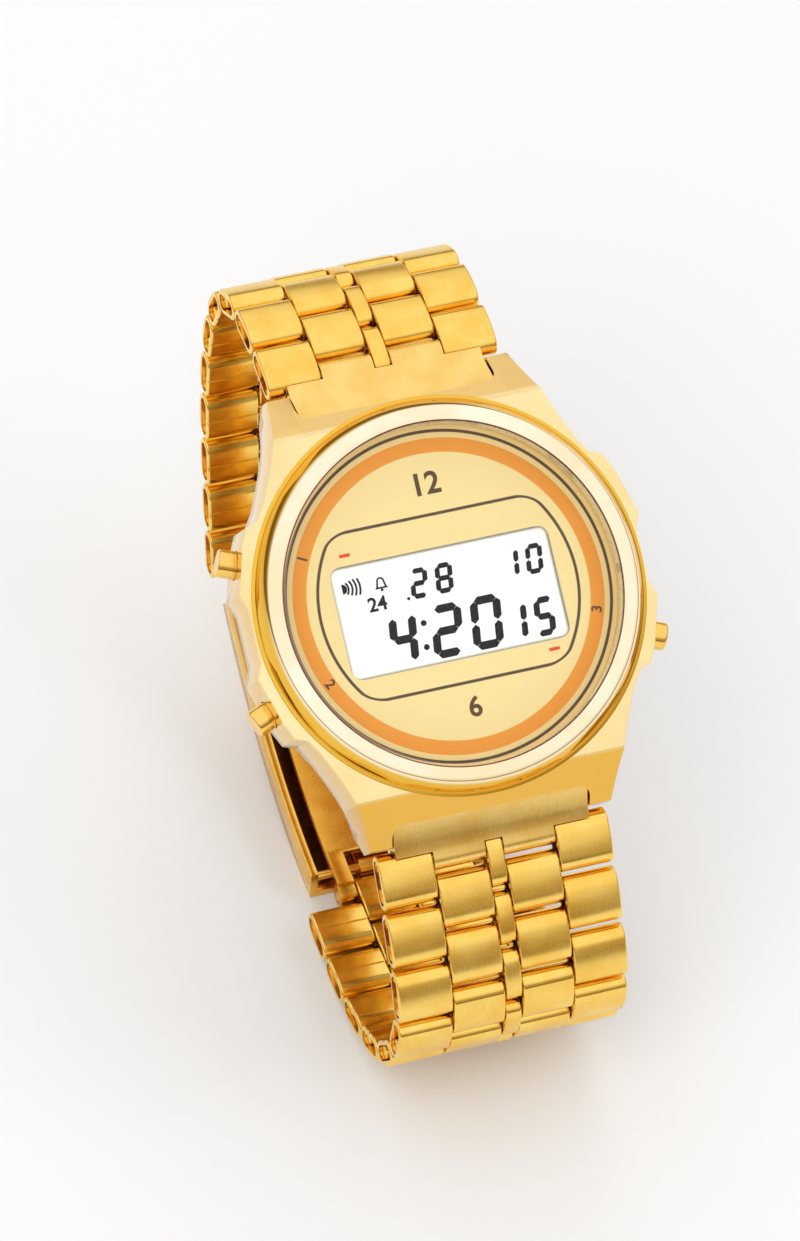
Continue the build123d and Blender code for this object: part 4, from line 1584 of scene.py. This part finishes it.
@dataclass
class Display:
    """The digits and marks that the display shows, and the numbers printed on the dial."""

    frame: Frame
    slant: float = math.radians(7.5)
    level: float = -0.448
    thickness: float = 0.03
    gap: float = 0.07
    bar_tip: float = 0.16
    digits: tuple[Digit, ...] = (
        Digit("4", -4.46, -2.72, 2.35, 4.4, 0.68),
        Digit("2", -0.68, -2.72, 2.65, 4.4, 0.68),
        Digit("0", 2.74, -2.72, 2.65, 4.4, 0.68),
        Digit("1", 5.25, -3.25, 1.75, 3.25, 0.52),
        Digit("5", 7.66, -3.25, 1.75, 3.25, 0.52),
        Digit("1", 5.85, 1.6, 1.4, 2.5, 0.42),
        Digit("0", 7.9, 1.6, 1.45, 2.5, 0.42),
        Digit("2", -2.12, 1.58, 1.5, 2.5, 0.42),
        Digit("8", 0.05, 1.58, 1.5, 2.5, 0.42),
    )
    dots: tuple[Corner, ...] = ((-2.51, -1.73, 0.25), (-2.71, -3.72, 0.25), (-3.28, 0.5, 0.13))
    horn: Corner = (-8.6, 2.35, 0.42)
    wave_count: int = 4
    wave_first: float = 0.62
    wave_step: float = 0.33
    wave_line: float = 0.16
    wave_back: float = 0.15
    wave_spread: float = 0.75
    wave_narrowing: float = 0.11
    bell: Point = (-5.3, 2.25)
    bell_dome: tuple[float, float, float] = (0.16, 0.2, 0.34)
    bell_side: tuple[Point, ...] = ((0.2, 0.16), (0.34, 0.16), (0.46, -0.36), (0.3, -0.36))
    bell_foot: tuple[Point, ...] = ((-0.56, -0.46), (0.56, -0.46), (0.46, -0.32), (-0.46, -0.32))
    bell_clapper: Point = (-0.58, 0.12)
    small_number: Number = Number("24", -5.95, 0.55, 1.2)
    numbers: tuple[Number, ...] = (
        Number("12", 0.15, 9.4, 1.9), Number("6", 0.05, -9.45, 1.7), Number("1", -11.36, 5.45, 0.9, 64.0),
        Number("2", -11.5, -5.1, 0.9, -65.0), Number("3", 12.05, -3.6, 0.9, 73.0))
    cap_height: float = 0.73
    boldness: float = 0.03

    def bars(self) -> Mesh:
        """One point for each lit bar, with its turn, length and stroke as attributes.

        Returns:
            The points as a mesh.
        """
        places: list[Corner] = []
        turns: list[float] = []
        sizes: list[float] = []
        for digit in self.digits:
            half_x = (digit.width - digit.stroke) / 2
            half_y = (digit.height - digit.stroke) / 2
            middle = digit.x - math.tan(self.slant) * digit.y
            for bar in LIT_BARS[digit.value]:
                share_x, share_y, flat = bar.value
                places.append((middle + share_x * half_x, digit.y + share_y * half_y, 0.0))
                turns.append(0.0 if flat else QUARTER_TURN)
                sizes += [(2 * half_x if flat else half_y) - self.gap, digit.stroke, 1.0]
        mesh = bpy.data.meshes.new("bar_places")
        mesh.from_pydata(places, [], [])
        mesh.attributes.new("turn", "FLOAT", "POINT").data.foreach_set("value", turns)
        mesh.attributes.new("bar_size", "FLOAT_VECTOR", "POINT").data.foreach_set("vector", sizes)
        return mesh

    def unit_bar(self) -> bpy.types.Object:
        """A flat six-sided bar, one long and one wide.

        Returns:
            The bar.
        """
        work = bmesh.new()
        inner = 0.5 - self.bar_tip
        add_plate(work, [(-0.5, 0), (-inner, -0.5), (inner, -0.5), (0.5, 0), (inner, 0.5), (-inner, 0.5)],
                  self.thickness)
        return shown("unit_bar", filled("unit_bar", work))

    def bar_tree(self) -> NodeTree:
        """The tree that puts a bar on each point and slants the digits.

        Returns:
            The tree.
        """
        tree = NodeTree("lit_bars")
        start, bar, slant, paint = tree.take({
            "Points": "Geometry", "Bar": "Object", "Slant": "Float", "Material": "Material"})
        turn, size = (tree.node("GeometryNodeInputNamedAttribute", {"data_type": kind}, {"Name": name}).outputs[0]
                      for name, kind in (("turn", "FLOAT"), ("bar_size", "FLOAT_VECTOR")))
        placed = tree.copies(start, bar, Rotation=tree.vector(0.0, 0.0, turn), Scale=size)
        real = tree.node("GeometryNodeRealizeInstances", inputs={0: placed})
        _, rise, _ = tree.split(tree.node("GeometryNodeInputPosition").outputs[0])
        leaned = tree.node("GeometryNodeSetPosition", inputs={
            "Geometry": real.outputs[0], "Offset": tree.vector(rise * slant)})
        tree.end(leaned.outputs[0], paint)
        return tree

    def build_digits(self) -> None:
        """The lit bars, dots and small marks of the display."""
        ink = Ink("display_ink", (0.006, 0.006, 0.007), 0.35).material()
        bar = self.unit_bar()
        mesh = self.bar_tree().run(
            "display_digits", {"Bar": bar, "Slant": math.tan(self.slant), "Material": ink}, self.bars())
        spend(bar)
        work = bmesh.new()
        for outline in self.mark_outlines():
            add_plate(work, outline, self.thickness)
        self.add_number(work, self.small_number)
        marks = filled("display_marks", work)
        for made in (mesh, marks):
            fit(shown(made.name, self.frame.lay(made, (0.0, 0.0, self.level)), ink), "head", "display_glass")

    def mark_outlines(self) -> list[list[Point]]:
        """The dots, the sound waves and the bell, in the dial's millimetres.

        Returns:
            Their outlines.
        """
        outlines = [arc_band((x, y), 0.0, radius, 0.0, FULL_TURN, 20) for x, y, radius in self.dots]
        x, y, radius = self.horn
        outlines.append(arc_band((x, y), 0.0, radius, -QUARTER_TURN, QUARTER_TURN, 12))
        for step in range(self.wave_count):
            radius = self.wave_first + self.wave_step * step
            spread = self.wave_spread - self.wave_narrowing * step
            outlines.append(arc_band((x - self.wave_back, y), radius, radius + self.wave_line, -spread, spread, 8))
        (rise, inner, outer), (drop, clapper) = self.bell_dome, self.bell_clapper
        bell = [arc_band((0.0, rise), inner, outer, 0.0, HALF_TURN, 12), [(-x, y) for x, y in self.bell_side],
                self.bell_side, self.bell_foot, arc_band((0.0, drop), 0.0, clapper, 0.0, FULL_TURN, 12)]
        return outlines + [[(self.bell[0] + x, self.bell[1] + y) for x, y in outline] for outline in bell]

    def add_number(self, work: BMesh, number: Number) -> None:
        """Add a plain number, thin and raised, to a working mesh, in the dial's millimetres.

        Args:
            work: the working mesh.
            number: the number.
        """
        curve = bpy.data.curves.new(f"number_{number.text}", "FONT")
        curve.body = number.text
        curve.size = number.height / self.cap_height
        curve.align_x, curve.align_y = "CENTER", "CENTER"
        curve.offset = self.boldness * number.height
        curve.extrude = self.thickness / 2
        curve.resolution_u = 6
        holder = bpy.data.objects.new(curve.name, curve)
        bpy.context.scene.collection.objects.link(holder)
        mesh = evaluated_mesh(holder)
        spend(holder)
        mesh.transform(Matrix.Translation((number.x, number.y, self.thickness / 2))
                       @ Matrix.Rotation(math.radians(number.turn), 4, "Z"))
        work.from_mesh(mesh)
        bpy.data.meshes.remove(mesh)

    def build_numbers(self) -> None:
        """The plain numbers printed on the dial."""
        ink = Ink("dial_ink", PRINT_BROWN, 0.5).material()
        work = bmesh.new()
        for number in self.numbers:
            self.add_number(work, number)
        printed = self.frame.lay(filled("dial_numbers", work), (0.0, 0.0, -self.thickness / 2))
        fit(shown("dial_numbers", printed, ink), "head", "dial_paint")

    def build(self) -> None:
        """Make what the display shows, and the dial's numbers."""
        self.build_digits()
        self.build_numbers()


# The clasp


@dataclass
class Clasp:
    """The fold-over clasp: cover, middle blade and lower blade."""

    frame: Frame
    edge: float = 0.09

    def build(self) -> None:
        """Soften each leaf's edges and let it stand for its node."""
        cover = (screen_colour(250, 206, 108), screen_colour(238, 184, 78), 0.2)
        blade = (screen_colour(246, 192, 84), screen_colour(228, 162, 56), 0.27)
        for node, name, slot, finish in (
                ("clasp_cover", "clasp_gold", "clasp_gold", cover),
                ("clasp_middle_blade", "blade_gold", "blade_gold", blade),
                ("clasp_lower_blade", "ear_gold", "blade_gold", blade)):
            material = SatinGold(name, *finish, on_strip=False).material()
            fit(shown(f"{node}_plate", self.frame.softened(node, self.edge), material), node, slot, node)


# Studio


@dataclass(frozen=True)
class Lamp:
    """One soft square lamp: its place and size in metres from the head, its power in watts, and its colour."""

    name: str
    place: Corner
    size: float
    power: float
    colour: Colour


@dataclass
class Studio:
    """Pale floor, soft lights and the camera."""

    frame: Frame
    right: Corner = (0.9505, -0.3053, 0.0570)
    back: Corner = (-0.2361, -0.5886, 0.7734)
    distance: float = 700.0
    aim: Point = (-4.04, -2.03)
    lens: float = 246.5
    sensor: float = 36.0
    floor_half: float = 3.0
    sky_strength: float = 0.97
    warmth: float = 1.1
    plain_sky: tuple[Point, ...] = ((0.0, 0.5), (0.5, 0.45), (0.65, 0.75), (0.85, 0.95), (1.0, 0.9))
    banded_sky: tuple[Point, ...] = (
        (0.0, 0.5), (0.5, 0.14), (0.555, 0.18), (0.6, 0.62), (0.66, 0.4), (0.74, 0.92), (0.86, 1.1), (1.0, 1.1))
    rear_sky: tuple[Point, ...] = ((0.0, 0.5), (0.5, 0.2), (0.57, 0.3), (0.63, 0.92), (0.8, 1.08), (1.0, 1.1))
    rear_from: Point = (0.2, 0.4)
    lamps: tuple[Lamp, ...] = (
        Lamp("key", (-0.3, -0.3, 0.5), 0.5, 1.3, (1.0, 0.99, 0.97)),
        Lamp("fill", (0.5, -0.35, 0.3), 0.45, 0.65, (0.98, 0.99, 1.0)),
        Lamp("back", (0.1, 0.5, 0.4), 0.4, 0.6, WHITE))

    def build_camera(self) -> None:
        """The camera at the photograph's angle."""
        back = Vector(self.back)
        up = back.cross(Vector(self.right)).normalized()
        right = up.cross(back).normalized()
        turn = Matrix((right, up, back.normalized())).transposed()
        target = self.frame.head.to_translation() + (right * self.aim[0] + up * self.aim[1]) * MM
        data = bpy.data.cameras.new("camera")
        data.sensor_fit = "VERTICAL"
        data.sensor_height = self.sensor
        data.lens = self.lens
        data.clip_start = 0.01
        camera = bpy.data.objects.new("camera", data)
        camera.matrix_world = Matrix.Translation(target + back.normalized() * self.distance * MM) @ turn.to_4x4()
        bpy.context.scene.collection.objects.link(camera)
        bpy.context.scene.camera = camera

    def build_floor(self) -> None:
        """A large pale floor."""
        surface = Surface("studio_floor")
        cloud = surface.noise(surface.place(), 0.002, 1.0)
        surface.set(Metallic=0.0, Roughness=0.6, Specular_IOR_Level=0.2,
                    Base_Color=surface.blend(cloud * 0.2, (0.86, 0.86, 0.865), (0.8, 0.8, 0.81)))
        half = self.floor_half
        mesh = bpy.data.meshes.new("floor")
        mesh.from_pydata([(-half, -half, 0), (half, -half, 0), (half, half, 0), (-half, half, 0)], [], [(0, 1, 2, 3)])
        shown("floor", mesh, surface.material)

    def light(self, lamp: Lamp) -> None:
        """Set a lamp up so that it faces the watch, and keep it out of reflections.

        Args:
            lamp: the lamp.
        """
        data = bpy.data.lights.new(lamp.name, "AREA")
        data.size, data.energy, data.color = lamp.size, lamp.power, lamp.colour
        target = self.frame.head.to_translation()
        spot = target + Vector(lamp.place)
        made = bpy.data.objects.new(lamp.name, data)
        made.matrix_world = Matrix.Translation(spot) @ (spot - target).to_track_quat("Z", "Y").to_matrix().to_4x4()
        made.visible_glossy = False
        bpy.context.scene.collection.objects.link(made)

    def sky(self, grower: NodeGrower, height: Amount, levels: Sequence[Point], warmth: float) -> Any:
        """A grey gradient by height, warmer where it is darker.

        Args:
            grower: the world's tree.
            height: 0 straight down and 1 straight up.
            levels: pairs of height and brightness.
            warmth: how much red and green the dark parts keep over blue.

        Returns:
            The colour's socket.
        """
        stops = []
        for place, level in levels:
            lack = warmth * max(0.0, 1 - level)
            stops.append((place, (level, level * (1 - lack * 0.4), level * (1 - lack))))
        return grower.node("ShaderNodeValToRGB", {"stops": stops}, {0: height}).outputs[0]

    def build_light(self) -> None:
        """The world's gradient, plain for light and in front and rear bands for reflections, and the lamps."""
        world = bpy.data.worlds.new("studio")
        world.use_nodes = True
        world.node_tree.nodes.clear()
        grower = NodeGrower(world.node_tree)
        _, depth, rise = grower.split(grower.node("ShaderNodeTexCoord").outputs["Generated"])
        height = rise * 0.5 + 0.5
        plain = self.sky(grower, height, self.plain_sky, 0.0)
        front = self.sky(grower, height, self.banded_sky, self.warmth)
        rear = self.sky(grower, height, self.rear_sky, self.warmth)
        banded = grower.blend(depth.past(*self.rear_from), front, rear)
        glossy = grower.node("ShaderNodeLightPath").outputs["Is Glossy Ray"]
        background = grower.node("ShaderNodeBackground", inputs={
            0: grower.blend(glossy, plain, banded), 1: self.sky_strength})
        grower.node("ShaderNodeOutputWorld", inputs={0: background.outputs[0]})
        bpy.context.scene.world = world
        for lamp in self.lamps:
            self.light(lamp)

    def build(self) -> None:
        """Floor, light and camera."""
        bpy.context.scene.view_settings.view_transform = "Standard"
        self.build_floor()
        self.build_light()
        self.build_camera()
        LOG.info("studio is set")


def main() -> None:
    """Build the watch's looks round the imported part."""
    logging.basicConfig(level=logging.INFO, format="%(name)s: %(message)s")
    frame = Frame(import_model())
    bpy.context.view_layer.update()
    link_gold = SatinGold("link_gold", screen_colour(255, 220, 120), screen_colour(248, 198, 88))
    for part in (Head(frame), Display(frame), Bracelet(frame, link_gold), Clasp(frame), Studio(frame)):
        LOG.info("building: %s", type(part).__name__)
        part.build()


if __name__ == "__main__":
    main()
